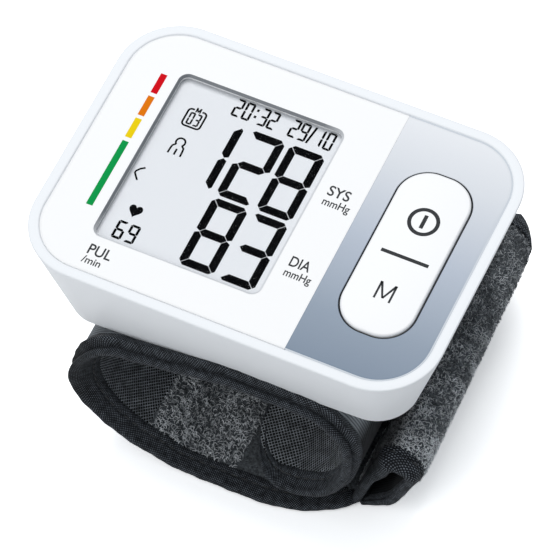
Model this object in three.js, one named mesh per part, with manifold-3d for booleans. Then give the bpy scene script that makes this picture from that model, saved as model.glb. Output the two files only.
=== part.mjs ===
// Wrist blood pressure monitor: a white case with a display and a rocker key, standing on
// a fabric cuff that is wound into a wrist loop, with its free tail folded over beside it.
// Millimetres, +Z up. The origin is on the floor under the middle of the case. +X runs
// along the case towards the key, and +Y towards its back.
import * as THREE from 'three';
import { mergeVertices } from 'three/addons/utils/BufferGeometryUtils.js';
import Module from 'manifold-3d';

const wasm = await Module();
wasm.setup();

// Clearances
const GAP = 0.3; // between fixed pieces that touch
const KEY_GAP = 0.5; // round the moving key
const CUFF_GAP = 0.4; // between the case's underside and the cuff
const CELL_GAP = 0.4; // round a battery cell

// Cuff: widths across the wrist, and the outer face of its cover
const LOOP_HEIGHT = 39.5; // floor to the cuff's top at the key end
const LOOP_RIGHT = 31; // middle of the case to the loop's key end
const LOOP_LEFT = 33.5; // middle of the case to the loop's display end
const RIGHT_END_HEIGHT = 26; // height of the loop's widest point, key end
const LEFT_END_HEIGHT = 20; // height of the loop's widest point, display end
const TOP_RUN_RIGHT = 18; // where the flat top starts to bend, key end
const TOP_RUN_LEFT = 20; // where the flat top starts to bend, display end
const FLOOR_RUN_LEFT = 8; // where the strap meets the floor, left of the middle
const TONGUE_BEND = 15; // where the tongue starts to bend up
const TONGUE_TIP = 7; // how far right of the middle the tongue ends
const TONGUE_TIP_WIDTH = 20; // flat end of the rounded tongue
const CUFF_TOP_WIDTH = 60; // along the wrist, under the case
const CUFF_FLOOR_WIDTH = 70; // along the wrist, at the floor
const STRAP_WIDTH = 61; // along the wrist, at the tail
const STRAP_SHIFT = 2; // tail's middle, towards the back
const STRAP_TAPER = 17; // length over which the strap narrows
const COVER_THICK = 0.9;
const CURL_THICK = 0.6;
const BLADDER_THICK = 1.2;
const LINING_THICK = 0.9;
const VELOUR_THICK = 1.2;
const BINDING_WIDTH = 1.6;
const HOOK_THICK = 0.8;
const HOOK_LENGTH = 20;
const HOOK_WIDTH = 36;
const BEND_STEPS = 9;

// Tail: the free end of the strap, folded over into a narrow loop
const HINGE_X = 25.5; // middle of the case to the line where the tail bends
const HINGE_BACK = 0.6; // strap's end to the bending line
const HINGE_AHEAD = 0.3; // bending line to the tail's start
const TAIL_HEIGHT = 22; // floor to the fold's inner crest
const TAIL_LEAN = 6.6; // how far the rising side leans out
const TAIL_FOLD = 6.8; // width of the fold's flat top
const TAIL_END_GAP = 0.9; // between the tail's end and its root
const TAIL_SKEW = 2.2; // how much narrower the fold is at its back edge
const TAIL_STEP = 2.5; // longest step along the tail
const TAIL_END_HEIGHT = 1.9;
const FOLD_RADIUS = 2;
const ROOT_RADIUS = 3; // bend at the floor, wider than the strap is thick
const FOLD_STEPS = 5;

// Case
const CASE_LENGTH = 87.2;
const CASE_DEPTH = 62.8;
const CASE_HEIGHT = 17.7; // at the key end
const BAY_DROP = 6.3; // how much deeper the case is over the cells
const BAY_SLOPE_START = 2; // right of the middle
const BAY_SLOPE_END = 28; // left of the middle
const CASE_CORNER = 13.3;
const SIDE_DRAFT = 0.32; // inward lean of the end walls, per mm of depth
const FRONT_DRAFT = 0.17; // inward lean of the front and back walls
const WALL = 2;
const BASE_THICK = 1.8;
const RIM_WIDTH = 2.3; // white frame round the face
const RIM_ROUND = 1.2;
const DECK_THICK = 1.6;
const CORNER_STEPS = 7;

// Face
const FACE_THICK = 1.2;
const FACE_SINK = 0.15; // face below the rim
const PANEL_WIDTH = 26.1; // grey panel that holds the key
const WINDOW_LENGTH = 35.2;
const WINDOW_DEPTH = 40.6;
const WINDOW_MARGIN = 13.55; // case's display end to the window
const WINDOW_CORNER = 3;
const WINDOW_BEVEL = 0.6; // sloping edge round the window
const LENS_THICK = 0.6;
const LCD_LAP = 1; // display cell under the face, round the window
const LCD_THICK = 1.6;
const ZEBRA_HEIGHT = 2.85;
const ZEBRA_WIDTH = 2.4;
const REFLECTOR_THICK = 0.4;
const FRAME_WALL = 1;

// Rocker key
const KEY_WIDTH = 15.5;
const KEY_LENGTH = 38.6;
const KEY_CORNER = 6.5;
const KEY_MARGIN = 8.1; // case's key end to the key
const KEY_SHIFT = -0.7; // key's middle, towards the back
const KEY_RISE = 0.35; // key above the rim
const KEY_THICK = 2.6;
const YOKE_WIDTH = 4;
const YOKE_BELOW_PIN = 1.4;
const PIN_RADIUS = 0.75;
const PIN_DROP = 3.9; // pivot line below the rim
const PIN_SEAT = 2; // pin's length in each bearing block
const BEARING_WALL = 1.2;
const FOOT_RADIUS = 1.8;
const SWITCH_ARM = 13; // pivot line to each switch

// Circuit board
const BOARD_THICK = 1;
const BOARD_MARGIN = 0.8; // board to the case's wall
const SWITCH_SIZE = 6;
const SWITCH_HEIGHT = 2;
const SWITCH_FLOOR = 0.4; // switch body under its stem's well
const STEM_RADIUS = 1.5;
const STEM_PLAY = 0.5; // room under the stem
const CHIP_SIZE = 10;
const CHIP_HEIGHT = 1.2;
const POST_RADIUS = 1.8;
const POST_MARGIN = 3.2; // screw posts from the wall
const SCREW_RADIUS = 0.8;
const SCREW_HEAD_RADIUS = 1.6;
const SCREW_HEAD_HEIGHT = 0.8;
const BOSS_RADIUS = 2.1;
const BOSS_WALL_MARGIN = 0.2; // screw pads inside the base's edge
const PAD_HEIGHT = 3.2;
const SCREW_BITE = 6; // screw's length above its pad

// Air system
const MOTOR_INSET = 0.2; // motor can inside the pump head's outline
const MOTOR_LENGTH = 16;
const HEAD_LENGTH = 11;
const PUMP_SPLIT = 0.4; // between motor and pump head
const CRANK_RADIUS = 2.8;
const CRANK_THICK = 2;
const CRANK_THROW = 0.8;
const SHAFT_RADIUS = 0.75;
const SHAFT_IN_MOTOR = 7;
const CHAMBER_DEPTH = 6;
const NIPPLE_RADIUS = 0.9;
const NIPPLE_LENGTH = 1.8;
const TUBE_WALL = 1;
const MANIFOLD_LENGTH = 8; // along both sides
const MANIFOLD_HEIGHT = 4;
const SENSOR_SIZE = 7;
const SENSOR_HEIGHT = 2.6;
const VALVE_LENGTH = 12;
const VALVE_WIDTH = 9;
const VALVE_HEIGHT = 6.4;
const VALVE_SHIFT = -6; // valve's middle, towards the back
const HOSE_RADIUS = 1.5;
const NOZZLE_RADIUS = 2;
const NOZZLE_BORE = 1;
const STUD_RADIUS = 1.2;
const STUD_SPAN = 14; // studs either side of the middle, along the wrist
const STUD_RIGHT = 5; // right of the middle
const STUD_LEFT = 14; // left of the middle

// Batteries
const CELL_RADIUS = 5.25;
const CELL_LENGTH = 43.5; // without the nub
const NUB_RADIUS = 1.9;
const NUB_LENGTH = 1;
const CELL_SPACE = 0.5; // between the two cells
const CELL_TO_DOOR = 1.2;
const CONTACT_THICK = 0.4;
const CONTACT_WIDTH = 8;
const RIB_WIDTH = 2;
const RIB_SPAN = 12;
const DOOR_MARGIN = 0.7; // door opening past the cells

const TURN_STEPS = 14;

// Levels and places that follow from these sizes
const UNDERSIDE = LOOP_HEIGHT + CUFF_GAP;
const TOP = UNDERSIDE + CASE_HEIGHT;
const FACE_TOP = TOP - FACE_SINK;
const FACE_BOTTOM = FACE_TOP - FACE_THICK;
const DECK_TOP = FACE_BOTTOM - GAP;
const DECK_BOTTOM = DECK_TOP - DECK_THICK;
const LENS_TOP = FACE_TOP - WINDOW_BEVEL;
const LCD_BOTTOM = DECK_TOP - LCD_THICK;
const ZEBRA_TOP = LCD_BOTTOM - GAP;
const BOARD_TOP = ZEBRA_TOP - ZEBRA_HEIGHT - GAP;
const BOARD_BOTTOM = BOARD_TOP - BOARD_THICK;
const PIN_HEIGHT = TOP - PIN_DROP;
const BASE_TOP = UNDERSIDE + BASE_THICK;
const BASE_LOW = UNDERSIDE - BAY_DROP;
const BAY_SLOPE = BAY_DROP / (BAY_SLOPE_START + BAY_SLOPE_END);

const LEFT = -CASE_LENGTH / 2;
const RIGHT = CASE_LENGTH / 2;
const WINDOW_X = LEFT + WINDOW_MARGIN + WINDOW_LENGTH / 2;
const KEY_X = RIGHT - KEY_MARGIN - KEY_WIDTH / 2;
const PANEL_LEFT = RIGHT - RIM_WIDTH - PANEL_WIDTH;
const LCD_LENGTH = WINDOW_LENGTH + 2 * LCD_LAP;
const LCD_DEPTH = WINDOW_DEPTH + 2 * LCD_LAP;
const FRAME_RIGHT = WINDOW_X + LCD_LENGTH / 2 + GAP + FRAME_WALL;
const PUMP_X = (FRAME_RIGHT + KEY_X - KEY_WIDTH / 2) / 2;
const PIN_HOLE = PIN_RADIUS + GAP;
const BEARING_LOW = PIN_HEIGHT - PIN_HOLE - BEARING_WALL;
const HEAD_SIZE = BEARING_LOW - BASE_TOP - 2 * GAP;
const PUMP_RADIUS = HEAD_SIZE / 2 - MOTOR_INSET;

// Underside of the case: level at the key end, sloping down over the cells.
function underside(x) {
  const along = THREE.MathUtils.clamp(BAY_SLOPE_START - x, 0, BAY_SLOPE_START + BAY_SLOPE_END);
  return UNDERSIDE - along * BAY_SLOPE;
}

// Half sizes of the case's outline at a height, drawn in by the draft of its walls.
function caseOutline(z, inset) {
  const depth = TOP - z;
  return {
    hx: CASE_LENGTH / 2 - SIDE_DRAFT * depth - inset,
    hy: CASE_DEPTH / 2 - FRONT_DRAFT * depth - inset,
    r: CASE_CORNER - ((SIDE_DRAFT + FRONT_DRAFT) / 2) * depth - inset,
  };
}

// Solids from meshes, and meshes from solids.
function solid(geometry) {
  const bare = geometry.clone();
  bare.deleteAttribute('normal');
  bare.deleteAttribute('uv');
  const merged = mergeVertices(bare, 1e-4);
  const vertProperties = new Float32Array(merged.attributes.position.array);
  const triVerts = new Uint32Array(merged.index.array);
  return new wasm.Manifold(new wasm.Mesh({ numProp: 3, vertProperties, triVerts }));
}

function geometryOf(body) {
  const { vertProperties, triVerts } = body.getMesh();
  const geometry = new THREE.BufferGeometry();
  geometry.setAttribute('position', new THREE.BufferAttribute(vertProperties, 3));
  geometry.setIndex(new THREE.BufferAttribute(triVerts, 1));
  return geometry;
}

// A closed skin over rings of points: quads between neighbouring rings, a fan on each end.
function loft(rings) {
  const count = rings[0].length;
  const points = rings.flat();
  const faces = [];
  for (let ring = 0; ring + 1 < rings.length; ring += 1) {
    for (let i = 0; i < count; i += 1) {
      const a = ring * count + i;
      const b = ring * count + ((i + 1) % count);
      faces.push(a, b, b + count, a, b + count, a + count);
    }
  }
  const last = (rings.length - 1) * count;
  for (let i = 1; i + 1 < count; i += 1) {
    faces.push(0, i + 1, i, last, last + i, last + i + 1);
  }
  let volume = 0;
  for (let f = 0; f < faces.length; f += 3) {
    const [a, b, c] = [points[faces[f]], points[faces[f + 1]], points[faces[f + 2]]];
    volume += a.dot(new THREE.Vector3().crossVectors(b, c));
  }
  if (volume < 0) faces.reverse();
  const geometry = new THREE.BufferGeometry().setFromPoints(points);
  geometry.setIndex(faces);
  return geometry;
}

// A rounded rectangle as a ring of points at one height.
function outlineRing({ hx, hy, r }, z) {
  const ring = [];
  const corners = [[1, 1, 0], [-1, 1, 1], [-1, -1, 2], [1, -1, 3]];
  for (const [sx, sy, quarter] of corners) {
    for (let step = 0; step <= CORNER_STEPS; step += 1) {
      const angle = ((quarter + step / CORNER_STEPS) * Math.PI) / 2;
      const x = sx * (hx - r) + r * Math.cos(angle);
      const y = sy * (hy - r) + r * Math.sin(angle);
      ring.push(new THREE.Vector3(x, y, z));
    }
  }
  return ring;
}

// Plates, prisms and turned pieces.
function roundedShape(width, height, radius, x = 0, y = 0) {
  const hx = width / 2;
  const hy = height / 2;
  const shape = new THREE.Shape();
  shape.moveTo(x + hx, y - hy + radius);
  shape.absarc(x + hx - radius, y + hy - radius, radius, 0, Math.PI / 2);
  shape.absarc(x - hx + radius, y + hy - radius, radius, Math.PI / 2, Math.PI);
  shape.absarc(x - hx + radius, y - hy + radius, radius, Math.PI, 1.5 * Math.PI);
  shape.absarc(x + hx - radius, y - hy + radius, radius, 1.5 * Math.PI, 2 * Math.PI);
  shape.closePath();
  return shape;
}

function plate(shape, bottom, top) {
  const options = { depth: top - bottom, bevelEnabled: false, curveSegments: CORNER_STEPS };
  return new THREE.ExtrudeGeometry(shape, options).translate(0, 0, bottom);
}

function box(x0, x1, y0, y1, z0, z1) {
  const geometry = new THREE.BoxGeometry(x1 - x0, y1 - y0, z1 - z0);
  return geometry.translate((x0 + x1) / 2, (y0 + y1) / 2, (z0 + z1) / 2);
}

function post(x, y, radius, bottom, top) {
  const geometry = new THREE.CylinderGeometry(radius, radius, top - bottom, TURN_STEPS);
  return geometry.rotateX(Math.PI / 2).translate(x, y, (bottom + top) / 2);
}

function turned(profile) {
  const points = profile.map(([r, h]) => new THREE.Vector2(r, h));
  return new THREE.LatheGeometry(points, TURN_STEPS);
}

// An outline in X and Z, carried along Y through the whole depth of the case and cuff.
function alongDepth(outline, width) {
  const shape = new THREE.Shape(outline.map(([x, z]) => new THREE.Vector2(x, z)));
  const options = { depth: width, bevelEnabled: false };
  return new THREE.ExtrudeGeometry(shape, options).rotateX(Math.PI / 2).translate(0, width / 2, 0);
}

const model = new THREE.Group();

function add(name, shape, color, roughness, metalness = 0) {
  const geometry = shape.isBufferGeometry ? shape : geometryOf(shape);
  const material = new THREE.MeshStandardMaterial({ color, roughness, metalness });
  const mesh = new THREE.Mesh(geometry, material);
  mesh.name = name;
  model.add(mesh);
}

const WHITE = 0xf1f2f4;
const PALE_GREY = 0xb9c3cf;
const BLACK_FABRIC = 0x1d1d20;
const VELOUR_GREY = 0x55585d;
const STEEL = 0xb8b8b8;

// Case shells. The upper shell is a drafted block, hollowed from below up to its deck and
// recessed from above for the face. The base is a plate that closes it from below.
const roundRings = [];
for (let step = 0; step <= 3; step += 1) {
  const angle = ((step / 3) * Math.PI) / 2;
  const z = TOP - RIM_ROUND * (1 - Math.sin(angle));
  roundRings.unshift(outlineRing(caseOutline(z, RIM_ROUND * (1 - Math.cos(angle))), z));
}
const BLOCK_LOW = BASE_LOW - WALL;
const block = solid(loft([...roundRings, outlineRing(caseOutline(BLOCK_LOW, 0), BLOCK_LOW)]));
const CAVITY_LOW = BLOCK_LOW - WALL;
const cavity = solid(loft([
  outlineRing(caseOutline(DECK_BOTTOM, WALL), DECK_BOTTOM),
  outlineRing(caseOutline(CAVITY_LOW, WALL), CAVITY_LOW),
]));
const belowUnderside = solid(alongDepth([
  [-CASE_LENGTH, CAVITY_LOW],
  [CASE_LENGTH, CAVITY_LOW],
  [CASE_LENGTH, UNDERSIDE],
  [BAY_SLOPE_START, UNDERSIDE],
  [-BAY_SLOPE_END, BASE_LOW],
  [-CASE_LENGTH, BASE_LOW],
], 2 * CASE_DEPTH));
const walls = block.subtract(cavity).subtract(belowUnderside);

const FACE_LENGTH = CASE_LENGTH - 2 * RIM_WIDTH;
const FACE_DEPTH = CASE_DEPTH - 2 * RIM_WIDTH;
const FACE_CORNER = CASE_CORNER - RIM_WIDTH;
const faceRecess = roundedShape(FACE_LENGTH, FACE_DEPTH, FACE_CORNER);
const LCD_HOLE_CORNER = WINDOW_CORNER + LCD_LAP;
const lcdHole = roundedShape(LCD_LENGTH + 2 * GAP, LCD_DEPTH + 2 * GAP, LCD_HOLE_CORNER, WINDOW_X);
const KEY_HOLE_WIDTH = KEY_WIDTH + 2 * KEY_GAP;
const KEY_HOLE_LENGTH = KEY_LENGTH + 2 * KEY_GAP;
const keyHole = roundedShape(KEY_HOLE_WIDTH, KEY_HOLE_LENGTH, KEY_CORNER + KEY_GAP, KEY_X, KEY_SHIFT);

// Cells lie across the case, side by side against the door, clear of the sloping base.
const DOOR_INNER = caseOutline(BOARD_BOTTOM, WALL).hx - SIDE_DRAFT * CELL_RADIUS * 2;
const CELL_LEFT_X = -DOOR_INNER + CELL_TO_DOOR + CELL_RADIUS;
const CELL_RIGHT_X = CELL_LEFT_X + 2 * CELL_RADIUS + CELL_SPACE;
const CELL_CLEAR = (CELL_RADIUS + CELL_GAP) * Math.hypot(1, BAY_SLOPE);
const CELL_Z = underside(CELL_RIGHT_X) + BASE_THICK * Math.hypot(1, BAY_SLOPE) + CELL_CLEAR;
const DOOR_HALF_WIDTH = CELL_LENGTH / 2 + NUB_LENGTH + DOOR_MARGIN;
const DOOR_HALF_HEIGHT = CELL_RADIUS + DOOR_MARGIN;

function doorBox(clear) {
  const half = DOOR_HALF_WIDTH - clear;
  const low = CELL_Z - DOOR_HALF_HEIGHT + clear;
  return solid(box(LEFT - WALL, CELL_LEFT_X, -half, half, low, CELL_Z + DOOR_HALF_HEIGHT - clear));
}

// Screw bosses hang from the deck at the key end and on either side of the pump.
const PAD_EDGE = caseOutline(BASE_TOP, WALL + GAP);
const BOSS_Y = PAD_EDGE.hy - BOSS_RADIUS - BOSS_WALL_MARGIN;
const BOSS_RIGHT_X = PAD_EDGE.hx - PAD_EDGE.r + BOSS_RADIUS / 2;
const bossPlaces = [
  [PUMP_X, -BOSS_Y],
  [PUMP_X, BOSS_Y],
  [BOSS_RIGHT_X, -BOSS_Y],
  [BOSS_RIGHT_X, BOSS_Y],
];
const POST_Y = caseOutline(DECK_BOTTOM, WALL).hy - POST_MARGIN;
const POST_LEFT_X = CELL_RIGHT_X + CONTACT_WIDTH / 2 + SCREW_HEAD_RADIUS + 2 * GAP;
const POST_RIGHT_X = WINDOW_X + LCD_LENGTH / 3;
const postPlaces = [
  [POST_LEFT_X, -POST_Y],
  [POST_LEFT_X, POST_Y],
  [POST_RIGHT_X, -POST_Y],
  [POST_RIGHT_X, POST_Y],
];

const HOLE_RADIUS = SCREW_RADIUS + GAP;
let upperShell = walls.subtract(solid(plate(faceRecess, DECK_TOP, TOP + WALL)));
for (const [x, y] of bossPlaces) {
  const boss = solid(post(x, y, BOSS_RADIUS, UNDERSIDE + PAD_HEIGHT + GAP, DECK_BOTTOM + GAP));
  const pilot = solid(post(x, y, HOLE_RADIUS, UNDERSIDE, UNDERSIDE + PAD_HEIGHT + SCREW_BITE + GAP));
  upperShell = upperShell.add(boss).subtract(pilot);
}
for (const [x, y] of postPlaces) {
  const support = solid(post(x, y, POST_RADIUS, BOARD_TOP + GAP, DECK_BOTTOM + GAP));
  upperShell = upperShell.add(support).subtract(solid(post(x, y, HOLE_RADIUS, BOARD_BOTTOM, DECK_BOTTOM)));
}
const BEARING_HALF = PIN_HOLE + BEARING_WALL;
const PIN_HALF = KEY_HOLE_WIDTH / 2 + PIN_SEAT;
const BEARING_OUT = PIN_HALF + GAP + BEARING_WALL;
for (const side of [-1, 1]) {
  const inner = KEY_X + side * (KEY_HOLE_WIDTH / 2);
  const outer = KEY_X + side * BEARING_OUT;
  const [x0, x1] = [Math.min(inner, outer), Math.max(inner, outer)];
  const bearing = box(x0, x1, KEY_SHIFT - BEARING_HALF, KEY_SHIFT + BEARING_HALF, BEARING_LOW, DECK_TOP);
  upperShell = upperShell.add(solid(bearing));
}
function pinRod(radius, half) {
  const rod = new THREE.CylinderGeometry(radius, radius, 2 * half, TURN_STEPS);
  return rod.rotateZ(Math.PI / 2).translate(KEY_X, KEY_SHIFT, PIN_HEIGHT);
}
upperShell = upperShell
  .subtract(solid(plate(lcdHole, DECK_BOTTOM - GAP, TOP)))
  .subtract(solid(plate(keyHole, BEARING_LOW - GAP, TOP)))
  .subtract(solid(pinRod(PIN_HOLE, PIN_HALF + GAP)))
  .subtract(doorBox(0));
add('upper_shell', upperShell, WHITE, 0.4);
add('battery_door', walls.intersect(doorBox(GAP)), WHITE, 0.4);

// Base: the underside plate, with screw pads, ribs under the cells and studs for the cuff.
const BASE_STACK = BASE_THICK * Math.hypot(1, BAY_SLOPE);
const baseOutline = loft([
  outlineRing(caseOutline(DECK_BOTTOM, WALL + GAP), DECK_BOTTOM),
  outlineRing(caseOutline(BLOCK_LOW, WALL + GAP), BLOCK_LOW),
]);
const baseSpace = solid(baseOutline).subtract(belowUnderside);
const baseSlab = solid(alongDepth([
  [-CASE_LENGTH, BLOCK_LOW],
  [CASE_LENGTH, BLOCK_LOW],
  [CASE_LENGTH, BASE_TOP],
  [BAY_SLOPE_START, BASE_TOP],
  [-BAY_SLOPE_END, BASE_LOW + BASE_STACK],
  [-CASE_LENGTH, BASE_LOW + BASE_STACK],
], 2 * CASE_DEPTH));
const RIB_LEFT = CELL_LEFT_X - CELL_RADIUS;
const RIB_RIGHT = CELL_RIGHT_X + CELL_RADIUS;
let base = baseSlab;
for (const [x, y] of bossPlaces) {
  base = base.add(solid(post(x, y, BOSS_RADIUS, UNDERSIDE, UNDERSIDE + PAD_HEIGHT)));
}
for (const side of [-1, 1]) {
  const rib = side * RIB_SPAN - RIB_WIDTH / 2;
  base = base.add(solid(box(RIB_LEFT, RIB_RIGHT, rib, rib + RIB_WIDTH, BASE_LOW, CELL_Z)));
}
base = base.intersect(baseSpace);
function cellRod(x, radius, half) {
  return new THREE.CylinderGeometry(radius, radius, 2 * half, TURN_STEPS).translate(x, 0, CELL_Z);
}
for (const x of [CELL_LEFT_X, CELL_RIGHT_X]) {
  base = base.subtract(solid(cellRod(x, CELL_RADIUS + CELL_GAP, CELL_LENGTH / 2)));
}
const COUNTERBORE = SCREW_HEAD_HEIGHT + 2 * GAP;
for (const [x, y] of bossPlaces) {
  const shank = solid(post(x, y, HOLE_RADIUS, BLOCK_LOW, TOP));
  const head = solid(post(x, y, SCREW_HEAD_RADIUS + GAP, BLOCK_LOW, UNDERSIDE + COUNTERBORE));
  base = base.subtract(shank).subtract(head);
}
const CURL_INNER = COVER_THICK + GAP + CURL_THICK;
const studPlaces = [];
for (const x of [-STUD_LEFT, STUD_RIGHT]) {
  for (const y of [-STUD_SPAN, STUD_SPAN]) studPlaces.push([x, y]);
}
for (const [x, y] of studPlaces) {
  const bottom = underside(x) - CUFF_GAP - CURL_INNER;
  base = base.add(solid(post(x, y, STUD_RADIUS, bottom, underside(x) + BASE_THICK / 2)));
}

// Air manifold place, over the nozzle that goes down through the base to the bladder.
const PUMP_FRONT = -BOSS_Y + BOSS_RADIUS + GAP;
const HEAD_FRONT = PUMP_FRONT + MOTOR_LENGTH + PUMP_SPLIT;
const HEAD_BACK = HEAD_FRONT + HEAD_LENGTH;
const MANIFOLD_FRONT = HEAD_BACK + 2 * NIPPLE_LENGTH + GAP;
const NOZZLE_Y = MANIFOLD_FRONT + MANIFOLD_LENGTH / 2;
base = base.subtract(solid(post(PUMP_X, NOZZLE_Y, NOZZLE_RADIUS + GAP, BLOCK_LOW, TOP)));
add('lower_shell', base, WHITE, 0.45);

// Face: a white plate with the display window, and a grey panel that holds the key.
const faceOutline = roundedShape(FACE_LENGTH - 2 * GAP, FACE_DEPTH - 2 * GAP, FACE_CORNER - GAP);
const faceSheet = solid(plate(faceOutline, FACE_BOTTOM, FACE_TOP));
const windowHole = roundedShape(WINDOW_LENGTH, WINDOW_DEPTH, WINDOW_CORNER, WINDOW_X);
function windowRing(grow, z) {
  const outline = { hx: WINDOW_LENGTH / 2 + grow, hy: WINDOW_DEPTH / 2 + grow, r: WINDOW_CORNER + grow };
  return outlineRing(outline, z);
}
const bevelCut = loft([
  windowRing(0, FACE_TOP - WINDOW_BEVEL),
  windowRing(2 * WINDOW_BEVEL, FACE_TOP + WINDOW_BEVEL),
]).translate(WINDOW_X, 0, 0);
const PANEL_BOX_TOP = TOP + WALL;
const SPLIT = PANEL_LEFT + GAP;
const leftOfPanel = box(LEFT, PANEL_LEFT, -CASE_DEPTH, CASE_DEPTH, 0, PANEL_BOX_TOP);
const rightOfPanel = box(SPLIT, RIGHT, -CASE_DEPTH, CASE_DEPTH, 0, PANEL_BOX_TOP);
const windowCut = solid(plate(windowHole, 0, PANEL_BOX_TOP));
const keyCut = solid(plate(keyHole, 0, PANEL_BOX_TOP));
const facePlate = faceSheet.intersect(solid(leftOfPanel)).subtract(windowCut).subtract(solid(bevelCut));
add('face_plate', facePlate, WHITE, 0.35);
add('control_panel', faceSheet.intersect(solid(rightOfPanel)).subtract(keyCut), PALE_GREY, 0.35);

// Display stack under the window, down to the circuit board.
const LCD_CORNER = LCD_HOLE_CORNER - GAP;
const LENS_LENGTH = WINDOW_LENGTH - 2 * GAP;
const lensShape = roundedShape(LENS_LENGTH, WINDOW_DEPTH - 2 * GAP, WINDOW_CORNER - GAP, WINDOW_X);
const lcdShape = roundedShape(LCD_LENGTH, LCD_DEPTH, LCD_CORNER, WINDOW_X);
add('display_window', plate(lensShape, LENS_TOP - LENS_THICK, LENS_TOP), 0xe8edf2, 0.05);
add('lcd_panel', plate(lcdShape, LCD_BOTTOM, DECK_TOP), 0xd9dee4, 0.15);
const ZEBRA_Y = LCD_DEPTH / 2 - ZEBRA_WIDTH;
const REFLECTOR_HALF = ZEBRA_Y - ZEBRA_WIDTH / 2 - GAP;
const lcdLeft = WINDOW_X - LCD_LENGTH / 2;
const lcdRight = WINDOW_X + LCD_LENGTH / 2;
const reflectorLow = ZEBRA_TOP - REFLECTOR_THICK;
const reflector = box(lcdLeft, lcdRight, -REFLECTOR_HALF, REFLECTOR_HALF, reflectorLow, ZEBRA_TOP);
add('lcd_reflector', reflector, 0xf4f4f0, 0.3);
const zebraLow = ZEBRA_TOP - ZEBRA_HEIGHT;
for (const [name, side] of [['zebra_strip_front', -1], ['zebra_strip_back', 1]]) {
  const y = side * ZEBRA_Y;
  const [x0, x1] = [lcdLeft + LCD_CORNER, lcdRight - LCD_CORNER];
  const strip = box(x0, x1, y - ZEBRA_WIDTH / 2, y + ZEBRA_WIDTH / 2, zebraLow, ZEBRA_TOP);
  add(name, strip, 0xc9a2a8, 0.7);
}
function aroundLcd(grow) {
  return roundedShape(LCD_LENGTH + 2 * grow, LCD_DEPTH + 2 * grow, LCD_CORNER + grow, WINDOW_X);
}
const frameShape = aroundLcd(GAP + FRAME_WALL);
frameShape.holes.push(aroundLcd(GAP));
add('lcd_frame', plate(frameShape, BOARD_TOP + GAP, DECK_BOTTOM - GAP), 0x3a3d42, 0.5);

// Circuit board: a plate inside the walls, cut out round the pump and the screw bosses.
const boardOutline = caseOutline(BOARD_BOTTOM, WALL + BOARD_MARGIN);
const boardShape = roundedShape(2 * boardOutline.hx, 2 * boardOutline.hy, boardOutline.r);
const PUMP_ROOM = HEAD_SIZE / 2 + BOARD_MARGIN;
let board = solid(plate(boardShape, BOARD_BOTTOM, BOARD_TOP));
const pumpRoomFront = PUMP_FRONT - BOARD_MARGIN;
const pumpRoom = box(PUMP_X - PUMP_ROOM, PUMP_X + PUMP_ROOM, pumpRoomFront, HEAD_BACK + BOARD_MARGIN, 0, TOP);
board = board.subtract(solid(pumpRoom));
for (const [x, y] of bossPlaces) {
  const clear = BOSS_RADIUS + GAP;
  const towardsWall = y < 0 ? [-CASE_DEPTH, y] : [y, CASE_DEPTH];
  board = board.subtract(solid(post(x, y, clear, 0, TOP)));
  board = board.subtract(solid(box(x - clear, x + clear, ...towardsWall, 0, TOP)));
}
for (const [x, y] of postPlaces) board = board.subtract(solid(post(x, y, HOLE_RADIUS, 0, TOP)));
add('circuit_board', board, 0x2e6b45, 0.5);
for (const [i, [x, y]] of postPlaces.entries()) {
  const headLow = BOARD_BOTTOM - GAP - SCREW_HEAD_HEIGHT;
  const screw = turned([
    [0, headLow],
    [SCREW_HEAD_RADIUS, headLow],
    [SCREW_HEAD_RADIUS, headLow + SCREW_HEAD_HEIGHT],
    [SCREW_RADIUS, headLow + SCREW_HEAD_HEIGHT],
    [SCREW_RADIUS, DECK_BOTTOM - GAP],
    [0, DECK_BOTTOM - GAP],
  ]);
  add(`board_screw_${i + 1}`, screw.rotateX(Math.PI / 2).translate(x, y, 0), STEEL, 0.35, 1);
}
const chipTop = BOARD_BOTTOM - GAP;
const chipX = (RIB_RIGHT + FRAME_RIGHT) / 2;
const chip = box(
  chipX - CHIP_SIZE / 2,
  chipX + CHIP_SIZE / 2,
  -CHIP_SIZE / 2,
  CHIP_SIZE / 2,
  chipTop - CHIP_HEIGHT,
  chipTop,
);
add('processor_chip', chip, 0x202124, 0.5);

// Rocker key: an oval cap on a yoke that turns on a pin, with a foot over each switch.
const KEY_TOP = TOP + KEY_RISE;
const KEY_BOTTOM = KEY_TOP - KEY_THICK;
const switchLow = BOARD_TOP + GAP;
const switchTop = switchLow + SWITCH_HEIGHT;
const stemLow = switchLow + SWITCH_FLOOR + STEM_PLAY;
const STEM_TOP = switchTop + STEM_PLAY + GAP;
const FOOT_LOW = STEM_TOP + GAP;
const keyCap = roundedShape(KEY_WIDTH, KEY_LENGTH, KEY_CORNER, KEY_X, KEY_SHIFT);
const YOKE_HALF = KEY_WIDTH / 2 - KEY_GAP;
let key = solid(plate(keyCap, KEY_BOTTOM, KEY_TOP));
key = key.add(solid(box(
  KEY_X - YOKE_HALF,
  KEY_X + YOKE_HALF,
  KEY_SHIFT - YOKE_WIDTH / 2,
  KEY_SHIFT + YOKE_WIDTH / 2,
  PIN_HEIGHT - YOKE_BELOW_PIN,
  KEY_BOTTOM + GAP,
)));
for (const side of [-1, 1]) {
  const y = KEY_SHIFT + side * SWITCH_ARM;
  key = key.add(solid(post(KEY_X, y, FOOT_RADIUS, FOOT_LOW, KEY_BOTTOM + GAP)));
}
key = key.subtract(solid(pinRod(PIN_HOLE, KEY_WIDTH)));
add('rocker_key', key, WHITE, 0.35);
add('rocker_pivot_pin', pinRod(PIN_RADIUS, PIN_HALF), STEEL, 0.3, 1);
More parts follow.
